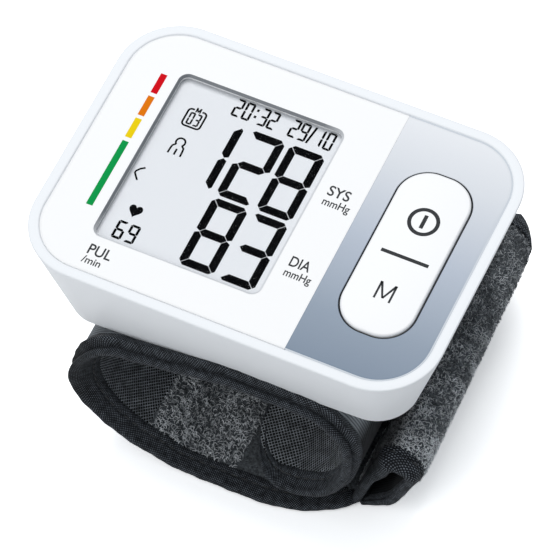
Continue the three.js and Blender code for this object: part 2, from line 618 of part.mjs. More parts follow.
for (const [end, side] of [['front', -1], ['back', 1]]) {
  const y = KEY_SHIFT + side * SWITCH_ARM;
  const half = SWITCH_SIZE / 2;
  const body = solid(box(KEY_X - half, KEY_X + half, y - half, y + half, switchLow, switchTop));
  const well = solid(post(KEY_X, y, STEM_RADIUS + GAP, switchLow + SWITCH_FLOOR, TOP));
  add(`switch_body_${end}`, body.subtract(well), 0x2a2c30, 0.5);
  add(`switch_stem_${end}`, post(KEY_X, y, STEM_RADIUS, stemLow, STEM_TOP), 0xd8d8d4, 0.5);
}

// Cells, and the leaf contacts at their ends, which hang from the board.
function cell(x, side) {
  const half = CELL_LENGTH / 2;
  const profile = [[0, -half], [CELL_RADIUS, -half], [CELL_RADIUS, half], [NUB_RADIUS, half]];
  const nub = [[NUB_RADIUS, half + NUB_LENGTH], [0, half + NUB_LENGTH]];
  const geometry = turned([...profile, ...nub]);
  if (side < 0) geometry.rotateX(Math.PI);
  return geometry.translate(x, 0, CELL_Z);
}
add('cell_left', cell(CELL_LEFT_X, 1), 0x5b6470, 0.35, 0.4);
add('cell_right', cell(CELL_RIGHT_X, -1), 0x5b6470, 0.35, 0.4);
function contact(x0, x1, side) {
  const inner = CELL_LENGTH / 2 + NUB_LENGTH + GAP;
  const [y0, y1] = side < 0 ? [-inner - CONTACT_THICK, -inner] : [inner, inner + CONTACT_THICK];
  return box(x0, x1, y0, y1, CELL_Z - CONTACT_WIDTH / 2, BOARD_BOTTOM - GAP);
}
const leaf = CONTACT_WIDTH / 2;
add('contact_bridge', contact(CELL_LEFT_X - leaf, CELL_RIGHT_X + leaf, -1), STEEL, 0.3, 1);
add('contact_plus', contact(CELL_LEFT_X - leaf, CELL_LEFT_X + leaf, 1), STEEL, 0.3, 1);
add('contact_minus', contact(CELL_RIGHT_X - leaf, CELL_RIGHT_X + leaf, 1), STEEL, 0.3, 1);
for (const [i, [x, y]] of bossPlaces.entries()) {
  const headLow = UNDERSIDE + GAP;
  const headTop = headLow + SCREW_HEAD_HEIGHT;
  const end = UNDERSIDE + PAD_HEIGHT + SCREW_BITE;
  const screw = turned([
    [0, headLow],
    [SCREW_HEAD_RADIUS, headLow],
    [SCREW_HEAD_RADIUS, headTop],
    [SCREW_RADIUS, headTop],
    [SCREW_RADIUS, end],
    [0, end],
  ]);
  add(`case_screw_${i + 1}`, screw.rotateX(Math.PI / 2).translate(x, y, 0), STEEL, 0.35, 1);
}

// Air pump: a motor that turns a crank inside the pump head, then the tube to the manifold.
const PUMP_Z = BASE_TOP + GAP + HEAD_SIZE / 2;
const motorMiddle = PUMP_FRONT + MOTOR_LENGTH / 2;
const motorCan = new THREE.CylinderGeometry(PUMP_RADIUS, PUMP_RADIUS, MOTOR_LENGTH, TURN_STEPS);
const shaftFront = PUMP_FRONT + MOTOR_LENGTH - SHAFT_IN_MOTOR;
const crankFront = HEAD_FRONT + GAP;
const boreRadius = SHAFT_RADIUS + GAP;
const bore = new THREE.CylinderGeometry(boreRadius, boreRadius, SHAFT_IN_MOTOR + 2 * GAP, TURN_STEPS);
const boreMiddle = shaftFront - GAP + (SHAFT_IN_MOTOR + 2 * GAP) / 2;
const motor = solid(motorCan.translate(PUMP_X, motorMiddle, PUMP_Z));
add('pump_motor', motor.subtract(solid(bore.translate(PUMP_X, boreMiddle, PUMP_Z))), STEEL, 0.35, 1);
const chamberRadius = CRANK_RADIUS + CRANK_THROW + GAP;
const chamberLength = CHAMBER_DEPTH + GAP;
const chamber = new THREE.CylinderGeometry(chamberRadius, chamberRadius, chamberLength, TURN_STEPS);
const chamberMiddle = HEAD_FRONT - GAP + chamberLength / 2;
const headHalf = HEAD_SIZE / 2;
function nipple(x, y, z) {
  const rod = new THREE.CylinderGeometry(NIPPLE_RADIUS, NIPPLE_RADIUS, NIPPLE_LENGTH + GAP, TURN_STEPS);
  return solid(rod.translate(x, y, z));
}
let head = solid(box(
  PUMP_X - headHalf,
  PUMP_X + headHalf,
  HEAD_FRONT,
  HEAD_BACK,
  PUMP_Z - headHalf,
  PUMP_Z + headHalf,
));
head = head.subtract(solid(chamber.translate(PUMP_X, chamberMiddle, PUMP_Z)));
const AIR_Z = BASE_TOP + GAP + MANIFOLD_HEIGHT / 2;
head = head.add(nipple(PUMP_X, HEAD_BACK + (NIPPLE_LENGTH - GAP) / 2, AIR_Z));
add('pump_head', head, 0x2b2d31, 0.5);
const shaftLength = crankFront + CRANK_THICK - shaftFront;
const shaft = new THREE.CylinderGeometry(SHAFT_RADIUS, SHAFT_RADIUS, shaftLength, TURN_STEPS);
const disc = new THREE.CylinderGeometry(CRANK_RADIUS, CRANK_RADIUS, CRANK_THICK, TURN_STEPS);
const crank = solid(shaft.translate(PUMP_X, shaftFront + shaftLength / 2, PUMP_Z))
  .add(solid(disc.translate(PUMP_X + CRANK_THROW, crankFront + CRANK_THICK / 2, PUMP_Z)));
add('pump_crank', crank, 0xd0d0cc, 0.4);
const sleeveIn = NIPPLE_RADIUS + GAP;
const sleeveOut = sleeveIn + TUBE_WALL;
const sleeve = turned([
  [sleeveIn, HEAD_BACK + GAP],
  [sleeveOut, HEAD_BACK + GAP],
  [sleeveOut, MANIFOLD_FRONT - GAP],
  [sleeveIn, MANIFOLD_FRONT - GAP],
  [sleeveIn, HEAD_BACK + GAP],
]);
add('pump_tube', sleeve.translate(PUMP_X, 0, AIR_Z), 0xd9d6cc, 0.6);

// Manifold on the base, with the pressure sensor over it and the nozzle under it.
const manifoldHalf = MANIFOLD_LENGTH / 2;
const manifoldLow = BASE_TOP + GAP;
let manifold = solid(box(
  PUMP_X - manifoldHalf,
  PUMP_X + manifoldHalf,
  MANIFOLD_FRONT,
  MANIFOLD_FRONT + MANIFOLD_LENGTH,
  manifoldLow,
  manifoldLow + MANIFOLD_HEIGHT,
));
manifold = manifold.add(nipple(PUMP_X, MANIFOLD_FRONT - (NIPPLE_LENGTH - GAP) / 2, AIR_Z));
add('air_manifold', manifold, 0x3a3d42, 0.5);
const sensorHalf = SENSOR_SIZE / 2;
const sensorTop = BOARD_BOTTOM - GAP;
const sensorPort = manifoldLow + MANIFOLD_HEIGHT + GAP;
const sensorBody = solid(box(
  PUMP_X - sensorHalf,
  PUMP_X + sensorHalf,
  NOZZLE_Y - sensorHalf,
  NOZZLE_Y + sensorHalf,
  sensorTop - SENSOR_HEIGHT,
  sensorTop,
));
const port = solid(post(PUMP_X, NOZZLE_Y, NIPPLE_RADIUS, sensorPort, sensorTop - SENSOR_HEIGHT + GAP));
add('pressure_sensor', sensorBody.add(port), 0x26282c, 0.5);
const nozzleLow = LOOP_HEIGHT - CURL_INNER;
const nozzle = turned([
  [NOZZLE_BORE, nozzleLow],
  [NOZZLE_RADIUS, nozzleLow],
  [NOZZLE_RADIUS, BASE_TOP],
  [NOZZLE_BORE, BASE_TOP],
  [NOZZLE_BORE, nozzleLow],
]);
add('cuff_nozzle', nozzle.rotateX(Math.PI / 2).translate(PUMP_X, NOZZLE_Y, 0), 0x3a3d42, 0.5);

// Release valve between the pump and the wall, and the hose that joins it to the manifold.
const valveBack = VALVE_SHIFT + VALVE_WIDTH / 2;
const valveX = (PUMP_X + headHalf + caseOutline(BASE_TOP, WALL).hx) / 2;
const valveLeft = valveX - VALVE_LENGTH / 2;
const valve = box(
  valveLeft,
  valveLeft + VALVE_LENGTH,
  VALVE_SHIFT - VALVE_WIDTH / 2,
  valveBack,
  manifoldLow,
  manifoldLow + VALVE_HEIGHT,
);
add('release_valve', valve, 0x3f4247, 0.5, 0.3);
const hoseStart = new THREE.Vector3(PUMP_X + manifoldHalf + GAP, NOZZLE_Y, AIR_Z);
const hoseEnd = new THREE.Vector3(valveX, valveBack + GAP, AIR_Z);
const hoseCorner = new THREE.Vector3(hoseEnd.x, hoseStart.y, AIR_Z);
const hoseRoute = new THREE.QuadraticBezierCurve3(hoseStart, hoseCorner, hoseEnd);
const hoseSection = new THREE.Shape().absarc(0, 0, HOSE_RADIUS, 0, 2 * Math.PI);
const hoseOptions = { steps: 12, curveSegments: 10, bevelEnabled: false, extrudePath: hoseRoute };
add('valve_tube', new THREE.ExtrudeGeometry(hoseSection, hoseOptions), 0xd9d6cc, 0.6);

// Cuff. Its route is the outer face of the cover, from the tongue's tip round the loop and
// along the floor: straight runs joined by quarter ellipses. Layers lie inside that face.
const STRAP_THICK = COVER_THICK + GAP + VELOUR_THICK;
const TONGUE_Z = STRAP_THICK + GAP + HOOK_THICK + GAP;
const TOP_LEFT_Z = underside(-TOP_RUN_LEFT) - CUFF_GAP;

function quarter(cx, cz, rx, rz, from) {
  const bend = [];
  for (let step = 0; step <= BEND_STEPS; step += 1) {
    const angle = from + ((step / BEND_STEPS) * Math.PI) / 2;
    bend.push([cx + rx * Math.cos(angle), cz + rz * Math.sin(angle)]);
  }
  return bend;
}
const tongueRun = [];
for (let step = 0; step < BEND_STEPS; step += 1) {
  tongueRun.push([TONGUE_TIP + ((TONGUE_BEND - TONGUE_TIP) * step) / BEND_STEPS, TONGUE_Z]);
}
const rightSpan = LOOP_RIGHT - TONGUE_BEND;
const rightDrop = RIGHT_END_HEIGHT - TONGUE_Z;
const rightBottom = quarter(TONGUE_BEND, RIGHT_END_HEIGHT, rightSpan, rightDrop, -Math.PI / 2);
const rightRise = LOOP_HEIGHT - RIGHT_END_HEIGHT;
const rightTop = quarter(TOP_RUN_RIGHT, RIGHT_END_HEIGHT, LOOP_RIGHT - TOP_RUN_RIGHT, rightRise, 0);
const leftRise = TOP_LEFT_Z - LEFT_END_HEIGHT;
const leftTop = quarter(-TOP_RUN_LEFT, LEFT_END_HEIGHT, LOOP_LEFT - TOP_RUN_LEFT, leftRise, Math.PI / 2);
const leftSpan = LOOP_LEFT - FLOOR_RUN_LEFT;
const leftBottom = quarter(-FLOOR_RUN_LEFT, LEFT_END_HEIGHT, leftSpan, LEFT_END_HEIGHT, Math.PI);
const bodyRoute = [
  ...tongueRun,
  ...rightBottom,
  ...rightTop.slice(1),
  [BAY_SLOPE_START, LOOP_HEIGHT],
  ...leftTop,
  ...leftBottom.slice(1),
];
const strapEnd = HINGE_X - HINGE_BACK;
const taperStart = strapEnd - STRAP_TAPER;
const strapRoute = [[-FLOOR_RUN_LEFT + GAP, 0]];
for (let step = 0; step <= BEND_STEPS; step += 1) {
  strapRoute.push([taperStart + (STRAP_TAPER * step) / BEND_STEPS, 0]);
}

// The cuff's two edges: wider towards the floor, round at the tongue, narrow at the strap.
function cuffHalf(z) {
  const low = 1 - THREE.MathUtils.clamp(z / LOOP_HEIGHT, 0, 1);
  return (CUFF_TOP_WIDTH + (CUFF_FLOOR_WIDTH - CUFF_TOP_WIDTH) * low) / 2;
}
function tongueHalf(x, z) {
  const along = THREE.MathUtils.clamp((x - TONGUE_TIP) / (TONGUE_BEND - TONGUE_TIP), 0, 1);
  const round = Math.sqrt(1 - (1 - along) ** 2);
  return TONGUE_TIP_WIDTH / 2 + (cuffHalf(z) - TONGUE_TIP_WIDTH / 2) * round;
}
const bodySides = bodyRoute.map(([x, z], i) => {
  const half = i < tongueRun.length ? tongueHalf(x, z) : cuffHalf(z);
  return [-half, half];
});
const tailSides = [STRAP_SHIFT - STRAP_WIDTH / 2, STRAP_SHIFT + STRAP_WIDTH / 2];
const strapSides = strapRoute.map(([x]) => {
  const along = THREE.MathUtils.smoothstep(x, taperStart, taperStart + STRAP_TAPER);
  const front = THREE.MathUtils.lerp(-CUFF_FLOOR_WIDTH / 2, tailSides[0], along);
  return [front, THREE.MathUtils.lerp(CUFF_FLOOR_WIDTH / 2, tailSides[1], along)];
});

// A band along a route: from one depth inside the route to another, between two sides.
function band(route, near, far, sides) {
  const rings = route.map(([x, z], i) => {
    const [px, pz] = route[Math.max(i - 1, 0)];
    const [nx, nz] = route[Math.min(i + 1, route.length - 1)];
    const length = Math.hypot(nx - px, nz - pz);
    const inward = [-(nz - pz) / length, (nx - px) / length];
    const at = (depth, y) => new THREE.Vector3(x + inward[0] * depth, y, z + inward[1] * depth);
    const [y0, y1] = sides[i];
    return [at(near, y0), at(far, y0), at(far, y1), at(near, y1)];
  });
  return loft(rings);
}
const EDGE_INSET = BINDING_WIDTH + GAP;
const between = (sides) => sides.map(([front, back]) => [front + EDGE_INSET, back - EDGE_INSET]);
const frontEdge = (sides) => sides.map(([front]) => [front, front + BINDING_WIDTH]);
const backEdge = (sides) => sides.map(([, back]) => [back - BINDING_WIDTH, back]);

const wholeRoute = [...bodyRoute, ...strapRoute];
const wholeSides = [...bodySides, ...strapSides];
const padSides = between(bodySides);
const CURL_NEAR = COVER_THICK + GAP;
const BLADDER_NEAR = CURL_INNER + GAP;
const LINING_NEAR = BLADDER_NEAR + BLADDER_THICK + GAP;
let cover = solid(band(wholeRoute, 0, COVER_THICK, between(wholeSides)));
let curl = solid(band(bodyRoute, CURL_NEAR, CURL_INNER, padSides));
for (const [x, y] of studPlaces) {
  const hole = solid(post(x, y, STUD_RADIUS + GAP, UNDERSIDE / 2, TOP));
  cover = cover.subtract(hole);
  curl = curl.subtract(hole);
}
const nozzleHole = solid(post(PUMP_X, NOZZLE_Y, NOZZLE_RADIUS + GAP, UNDERSIDE / 2, TOP));
add('cuff_cover', cover.subtract(nozzleHole), BLACK_FABRIC, 0.85);
add('curl_sheet', curl.subtract(nozzleHole), 0x8d9094, 0.5);
add('air_bladder', band(bodyRoute, BLADDER_NEAR, BLADDER_NEAR + BLADDER_THICK, padSides), 0x6c6f74, 0.6);
add('cuff_lining', band(bodyRoute, LINING_NEAR, LINING_NEAR + LINING_THICK, padSides), 0x3a3c40, 0.9);
add('strap_velour', band(strapRoute, COVER_THICK + GAP, STRAP_THICK, between(strapSides)), VELOUR_GREY, 0.95);
const hookLow = STRAP_THICK + GAP;
const hookStart = TONGUE_BEND - HOOK_LENGTH / 2;
const hookHalf = HOOK_WIDTH / 2;
const hook = box(hookStart, TONGUE_BEND, -hookHalf, hookHalf, hookLow, hookLow + HOOK_THICK);
add('hook_patch', hook, 0x18181a, 0.9);
add('cuff_binding_front', band(wholeRoute, 0, STRAP_THICK, frontEdge(wholeSides)), BLACK_FABRIC, 0.8);
add('cuff_binding_back', band(wholeRoute, 0, STRAP_THICK, backEdge(wholeSides)), BLACK_FABRIC, 0.8);

// Tail: the strap rises beside the loop, folds over outwards and comes back down to its
// root, so that its velour faces out. Straight sides joined by rounded folds.
function filleted(corners, radii) {
  const route = [];
  corners.forEach(([x, z], i) => {
    if (i === 0 || i === corners.length - 1) {
      route.push([x, z]);
      return;
    }
    const here = new THREE.Vector2(x, z);
    const back = new THREE.Vector2(...corners[i - 1]).sub(here).normalize();
    const on = new THREE.Vector2(...corners[i + 1]).sub(here).normalize();
    const half = back.angleTo(on) / 2;
    const reach = radii[i - 1] / Math.tan(half);
    const centre = back.clone().add(on).normalize().multiplyScalar(radii[i - 1] / Math.sin(half)).add(here);
    const start = back.clone().multiplyScalar(reach).add(here).sub(centre);
    const end = on.clone().multiplyScalar(reach).add(here).sub(centre);
    let turn = end.angle() - start.angle();
    if (turn > Math.PI) turn -= 2 * Math.PI;
    if (turn < -Math.PI) turn += 2 * Math.PI;
    for (let step = 0; step <= FOLD_STEPS; step += 1) {
      const p = start.clone().rotateAround(new THREE.Vector2(), (turn * step) / FOLD_STEPS).add(centre);
      route.push([p.x, p.y]);
    }
  });
  return route;
}
const tailStart = HINGE_X + HINGE_AHEAD;
const tailRoot = tailStart + ROOT_RADIUS;
const foldLeft = tailRoot + TAIL_LEAN;
const tailBends = filleted([
  [tailStart, 0],
  [tailRoot, 0],
  [foldLeft, TAIL_HEIGHT],
  [foldLeft + TAIL_FOLD, TAIL_HEIGHT],
  [tailRoot + TAIL_END_GAP, TAIL_END_HEIGHT],
], [ROOT_RADIUS, FOLD_RADIUS, FOLD_RADIUS]);
const tailRoute = tailBends.flatMap(([x, z], i) => {
  const [px, pz] = tailBends[Math.max(i - 1, 0)];
  const count = Math.max(Math.ceil(Math.hypot(x - px, z - pz) / TAIL_STEP), 1);
  const steps = Array.from({ length: count }, (unused, k) => (k + 1) / count);
  return steps.map((t) => [px + (x - px) * t, pz + (z - pz) * t]);
});
const tailEdges = tailRoute.map(() => tailSides);
const tailMiddle = between(tailEdges);
// Draws the falling side in towards the rising one, more and more from front to back.
function skewed(geometry) {
  const points = geometry.attributes.position;
  for (let i = 0; i < points.count; i += 1) {
    const rising = tailRoot + (TAIL_LEAN * points.getZ(i)) / TAIL_HEIGHT;
    const across = THREE.MathUtils.clamp((points.getX(i) - rising) / TAIL_FOLD, 0, 1);
    const along = (points.getY(i) - tailSides[0]) / STRAP_WIDTH;
    points.setX(i, points.getX(i) - TAIL_SKEW * across * along);
  }
  return geometry;
}
const VELOUR_NEAR = COVER_THICK + GAP;
add('tail_cover', skewed(band(tailRoute, 0, COVER_THICK, tailMiddle)), BLACK_FABRIC, 0.85);
add('tail_velour', skewed(band(tailRoute, VELOUR_NEAR, STRAP_THICK, tailMiddle)), VELOUR_GREY, 0.95);
const tailFront = band(tailRoute, 0, STRAP_THICK, frontEdge(tailEdges));
const tailBack = band(tailRoute, 0, STRAP_THICK, backEdge(tailEdges));
add('tail_binding_front', skewed(tailFront), BLACK_FABRIC, 0.8);
add('tail_binding_back', skewed(tailBack), BLACK_FABRIC, 0.8);

export default model;
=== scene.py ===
"""A wrist blood pressure monitor on its wound cuff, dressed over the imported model. Sizes are in mm."""

import bmesh
import bpy
import numpy as np
from mathutils import Matrix


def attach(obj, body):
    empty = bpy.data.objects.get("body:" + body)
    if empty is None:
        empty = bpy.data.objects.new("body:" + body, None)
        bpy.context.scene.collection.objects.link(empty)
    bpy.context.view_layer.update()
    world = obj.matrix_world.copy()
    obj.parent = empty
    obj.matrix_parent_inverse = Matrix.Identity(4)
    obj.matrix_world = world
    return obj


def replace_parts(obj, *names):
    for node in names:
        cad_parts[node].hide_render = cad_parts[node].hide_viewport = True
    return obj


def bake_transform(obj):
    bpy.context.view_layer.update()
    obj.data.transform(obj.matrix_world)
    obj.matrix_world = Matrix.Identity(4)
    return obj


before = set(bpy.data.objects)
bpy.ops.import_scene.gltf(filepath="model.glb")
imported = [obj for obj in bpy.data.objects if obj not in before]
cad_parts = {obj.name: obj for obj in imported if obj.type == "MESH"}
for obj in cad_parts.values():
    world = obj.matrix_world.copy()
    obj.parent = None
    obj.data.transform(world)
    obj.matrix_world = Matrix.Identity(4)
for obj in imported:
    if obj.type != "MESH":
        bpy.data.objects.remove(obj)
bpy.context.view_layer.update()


# The upper case: one shell of white ABS, moulded, with drafted walls, a rounded rim and a recess
# for the face. The wall's foot follows the sloping bay over the cuff. It closes on the base plate.
MM = 0.001
CASE_TOP = 57.6
CASE_MIDDLE = (-0.15, 0)
CASE_HALF = (43.75, 31.4)
CASE_CORNER = 13.3
CASE_DRAFT = (0.32, 0.17)
KEY_END_DRAFT = 0.275
CORNER_DRAFT = 0.27
CASE_WALL = 2.0
FOOT_LEVEL = 39.9
FOOT_ROUND = ((0, 0.5), (0.1, 0.15), (0.4, 0))
BAY_SLOPE = 0.21
BAY_START = 2.0
BAY_RUN = 30
RIM_WIDTH = 2.3
RIM_ROUND = 0.4
RECESS_ROUND = 0.25
FACE_LEVEL = 57.45
DECK_LEVEL = 55.95
DECK_BOTTOM = 54.35
DECK_INSET = 6.0
CREASE = 35
CORNER_STEPS = 18
CORNER_TURN = (np.radians([-90, 0, 90, 180])[:, None] + np.linspace(0, np.pi / 2, CORNER_STEPS)).ravel()
SIDE_X = np.repeat([1, 1, -1, -1], CORNER_STEPS)
SIDE_Y = np.repeat([-1, 1, 1, -1], CORNER_STEPS)


def linear(colour):
    """The linear RGBA of an sRGB hex colour."""
    part = np.array([int(colour[i : i + 2], 16) for i in (1, 3, 5)]) / 255
    part = np.where(part <= 0.04045, part / 12.92, ((part + 0.055) / 1.055) ** 2.4)
    return (*part.tolist(), 1.0)


def node(tree, kind, inputs=None, **settings):
    """Adds a shader node of a kind. settings are its own choices. inputs are plain values, sockets that
    are linked to it, or nodes whose first output is."""
    made = tree.nodes.new("ShaderNode" + kind)
    for key, value in settings.items():
        setattr(made, key, value)
    for key, value in (inputs or {}).items():
        if isinstance(value, bpy.types.Node):
            value = value.outputs[0]
        if isinstance(value, bpy.types.NodeSocket):
            tree.links.new(value, made.inputs[key])
        else:
            made.inputs[key].default_value = value
    return made


def finish(name, colour, roughness, ior=1.5, **sockets):
    """Starts a material: its Principled shader with the plain values of the real finish."""
    made = bpy.data.materials.new(name)
    made.use_nodes = True
    shader = made.node_tree.nodes["Principled BSDF"]
    plain = {"Base Color": linear(colour), "Roughness": roughness, "IOR": ior}
    plain.update({key.replace("_", " "): value for key, value in sockets.items()})
    for key, value in plain.items():
        shader.inputs[key].default_value = value
    return made, made.node_tree


def dress(tree, **outputs):
    """Links the outputs that a material works out to its Principled shader's sockets."""
    for key, output in outputs.items():
        tree.links.new(output, tree.nodes["Principled BSDF"].inputs[key.replace("_", " ")])


def grained(name, colours, roughness, grain, relief, ior=1.5, **sockets):
    """A moulded, cast or rolled finish: noise of one grain size drifts the colour between two shades,
    the roughness between two values, and raises a fine relief. Grain and relief are in mm."""
    made, tree = finish(name, colours[0], roughness[0], ior, **sockets)
    place = node(tree, "TexCoord").outputs["Object"]
    speck = node(tree, "TexNoise", {"Vector": place, "Scale": 1 / (grain * MM), "Detail": 3.0})
    shade = node(tree, "Mix", {0: speck, 6: linear(colours[0]), 7: linear(colours[1])}, data_type="RGBA")
    rough = node(tree, "MapRange", {0: speck, 3: roughness[0], 4: roughness[1]})
    bump = node(tree, "Bump", {"Height": speck, "Distance": relief * MM})
    dress(tree, Base_Color=shade.outputs[2], Roughness=rough.outputs[0], Normal=bump.outputs[0])
    return made


def stand(name, data):
    """Links a new object, made from its mesh, text, lamp or camera, into the scene at the origin."""
    made = bpy.data.objects.new(name, data)
    bpy.context.scene.collection.objects.link(made)
    return made


def worked_out(piece):
    """The finished mesh of an object, with its modifiers or its text applied."""
    bpy.context.view_layer.update()
    return bpy.data.meshes.new_from_object(piece.evaluated_get(bpy.context.evaluated_depsgraph_get()))


def put(name, points, faces, paint, crease=CREASE, cloth=None):
    """Makes a piece at the origin from points in mm and their faces, turned outwards.
    Edges that turn by more than crease degrees stay hard. cloth gives each point its place on the cloth."""
    mesh = bpy.data.meshes.new(name)
    mesh.from_pydata((np.asarray(points) * MM).tolist(), [], faces)
    if cloth is not None:
        corners = np.empty(len(mesh.loops), np.int32)
        mesh.loops.foreach_get("vertex_index", corners)
        mesh.uv_layers.new(name="cloth").data.foreach_set("uv", cloth[corners].astype(np.float32).ravel())
    skin = bmesh.new()
    skin.from_mesh(mesh)
    bmesh.ops.recalc_face_normals(skin, faces=skin.faces)
    skin.to_mesh(mesh)
    skin.free()
    mesh.materials.append(paint)
    mesh.polygons.foreach_set("use_smooth", np.ones(len(mesh.polygons), bool))
    mesh.set_sharp_from_angle(angle=np.radians(crease))
    return stand(name, mesh)


def quads(rows, columns, turn=False):
    """The faces of a grid of points whose columns form rings. turn joins its last row to the first."""
    index = np.arange(rows * columns).reshape(rows, columns)
    index = np.concatenate([index, index[:, :1]], 1)
    if turn:
        index = np.concatenate([index, index[:1]], 0)
    return np.stack([index[:-1, :-1], index[:-1, 1:], index[1:, 1:], index[1:, :-1]], -1).reshape(-1, 4)


def tubes(name, points, paint, **more):
    """Like tubes in one mesh, from points of (count, rings, columns): each is closed by two flat lids."""
    count, rows, columns = points.shape[:3]
    first = np.arange(count)[:, None, None] * rows * columns
    lids = np.array([range(columns)[::-1], range((rows - 1) * columns, rows * columns)])
    faces = (first + quads(rows, columns)).reshape(-1, 4).tolist()
    faces += (first + lids).reshape(-1, columns).tolist()
    return put(name, points.reshape(-1, 3), faces, paint, **more)


def loft(name, rings, paint, lids=True, **more):
    """A closed skin over a stack of rings: flat lids close its ends, or the last ring joins the first."""
    rings = np.asarray(rings, float)
    if lids:
        return tubes(name, rings[None], paint, **more)
    return put(name, rings.reshape(-1, 3), quads(*rings.shape[:2], turn=True).tolist(), paint, **more)


def outline(middle, half_x, half_y, corner, level):
    """Points round a rounded rectangle, anticlockwise: quarter circles set in from its corners.
    Every value is one number, or one for each point."""
    x = middle[0] + SIDE_X * (half_x - corner) + corner * np.cos(CORNER_TURN)
    y = middle[1] + SIDE_Y * (half_y - corner) + corner * np.sin(CORNER_TURN)
    return np.stack([x, y, level + 0 * x], -1)


def case_ring(level, inset):
    """The case's outline at a level: its half sides close in with the draft below the top, and so
    do its corners."""
    fall = CASE_TOP - level
    half_x = CASE_HALF[0] - np.where(SIDE_X > 0, KEY_END_DRAFT, CASE_DRAFT[0]) * fall - inset
    half_y = CASE_HALF[1] - CASE_DRAFT[1] * fall - inset
    corner = np.maximum(CASE_CORNER - CORNER_DRAFT * fall - inset, 0.6)
    return outline(CASE_MIDDLE, half_x, half_y, corner, level)


def foot_ring(rise, inset):
    """The case's outline at its foot, which slopes down under the display end, raised by rise.
    The slope's level and the draft depend on each other, so a few rounds settle them."""
    level = FOOT_LEVEL + 0 * SIDE_X
    for _ in range(4):
        x = case_ring(level, inset)[:, 0]
        level = FOOT_LEVEL - np.clip(BAY_START - x, 0, BAY_RUN) * BAY_SLOPE + rise
    return case_ring(level, inset)


def case_rings():
    """The shell's section carried round: up the outer wall, over the rim, into the recess, back down inside."""
    arc = np.radians(np.linspace(0, 90, 7))
    steps = [(CASE_TOP - RIM_ROUND * (1 - np.sin(a)), RIM_ROUND * (1 - np.cos(a))) for a in arc]
    dip, width = RECESS_ROUND * (1 - np.cos(arc[::2])), RIM_WIDTH - RECESS_ROUND * (1 - np.sin(arc[::2]))
    steps += list(zip(CASE_TOP - dip, width))
    steps += [(DECK_LEVEL, RIM_WIDTH), (DECK_LEVEL, DECK_INSET), (DECK_BOTTOM, DECK_INSET)]
    steps += [(DECK_BOTTOM - 0.01, CASE_WALL)]
    foot = [foot_ring(rise, inset) for rise, inset in FOOT_ROUND]
    return foot + [case_ring(level, inset) for level, inset in steps] + [foot_ring(0, CASE_WALL)]


def carve(piece, low, high, work):
    """Keeps (INTERSECT) or takes away (DIFFERENCE) what lies in a box, by one applied Boolean."""
    corners = np.array(np.meshgrid(*zip(low, high), indexing="ij")).reshape(3, -1).T
    walls = [[0, 1, 3, 2], [4, 6, 7, 5], [0, 4, 5, 1], [2, 3, 7, 6], [0, 2, 6, 4], [1, 5, 7, 3]]
    box = put("carving_box", corners, walls, white_abs)
    cut = piece.modifiers.new("cut", "BOOLEAN")
    cut.object, cut.operation, cut.solver = box, work, "EXACT"
    carved = worked_out(piece)
    piece.modifiers.clear()
    piece.data = carved
    bpy.data.objects.remove(box)
    carved.set_sharp_from_angle(angle=np.radians(CREASE))


# White ABS, moulded in a finely eroded tool: satin, with a grain too fine to see but for its soft gloss.
white_abs = grained("white_abs", ("#f2f5f8", "#f4f6f9"), (0.38, 0.44), 0.5, 0.0006, 1.53)
DOOR_HALF = 23.45
DOOR_LEVELS = (37.29, 49.19)
DOOR_OUTSIDE = -60
DOORWAY_BACK = -29.3
doorway_low = (DOOR_OUTSIDE, -DOOR_HALF, DOOR_LEVELS[0])
doorway_high = (DOORWAY_BACK, DOOR_HALF, DOOR_LEVELS[1])
case_shell = loft("case_shell", case_rings(), white_abs, lids=False)
carve(case_shell, doorway_low, doorway_high, "DIFFERENCE")
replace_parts(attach(case_shell, "monitor"), "upper_shell")


# The battery door: a clip-on piece of the same wall, moulded in the same ABS, with three finger ribs.
# It is cut from the case's own section, a gap smaller than its doorway on every side.
DOOR_GAP = 0.3
DOOR_BACK = -34.1
door_low = (DOOR_OUTSIDE, DOOR_GAP - DOOR_HALF, DOOR_LEVELS[0] + DOOR_GAP)
door_high = (DOOR_BACK, DOOR_HALF - DOOR_GAP, DOOR_LEVELS[1] - DOOR_GAP)
battery_cover = loft("battery_cover", case_rings(), white_abs, lids=False)
carve(battery_cover, door_low, door_high, "INTERSECT")
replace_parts(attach(battery_cover, "door"), "battery_door")
RIB_LEVELS = (41.2, 43.2, 45.2)
RIB_HALF = 8.0
RIB_RADIUS = 0.45


def rib_rings(level):
    """A half-sunk rod along the door's wall: a small circle carried along Y, closing to its ends."""
    place = np.linspace(-1, 1, 25)
    round_off = np.sqrt(np.maximum(1 - np.abs(place) ** 8, 0.02))
    turn = np.linspace(0, 2 * np.pi, 12, endpoint=False)
    wall = CASE_MIDDLE[0] - CASE_HALF[0] + CASE_DRAFT[0] * (CASE_TOP - level)
    x = wall + RIB_RADIUS * round_off[:, None] * np.cos(turn)
    z = level + RIB_RADIUS * round_off[:, None] * np.sin(turn)
    y = RIB_HALF * place[:, None] + 0 * x
    return np.stack([x, y, z], -1)


for number, level in enumerate(RIB_LEVELS):
    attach(loft(f"door_rib_{number + 1}", rib_rings(level), white_abs), "door")


# The base plate and what the case hides: moulded ABS base, steel cells, board and air parts.
# They keep their solids, each with the finish of its real material.
def repaint(paint, solids):
    """Gives CAD solids that stay in the scene a finish."""
    for name in solids:
        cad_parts[name].data.materials.clear()
        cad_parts[name].data.materials.append(paint)


SCREWS = [f"{kind}_screw_{number}" for kind in ("board", "case") for number in (1, 2, 3, 4)]
repaint(white_abs, ["lower_shell", "lcd_frame"])
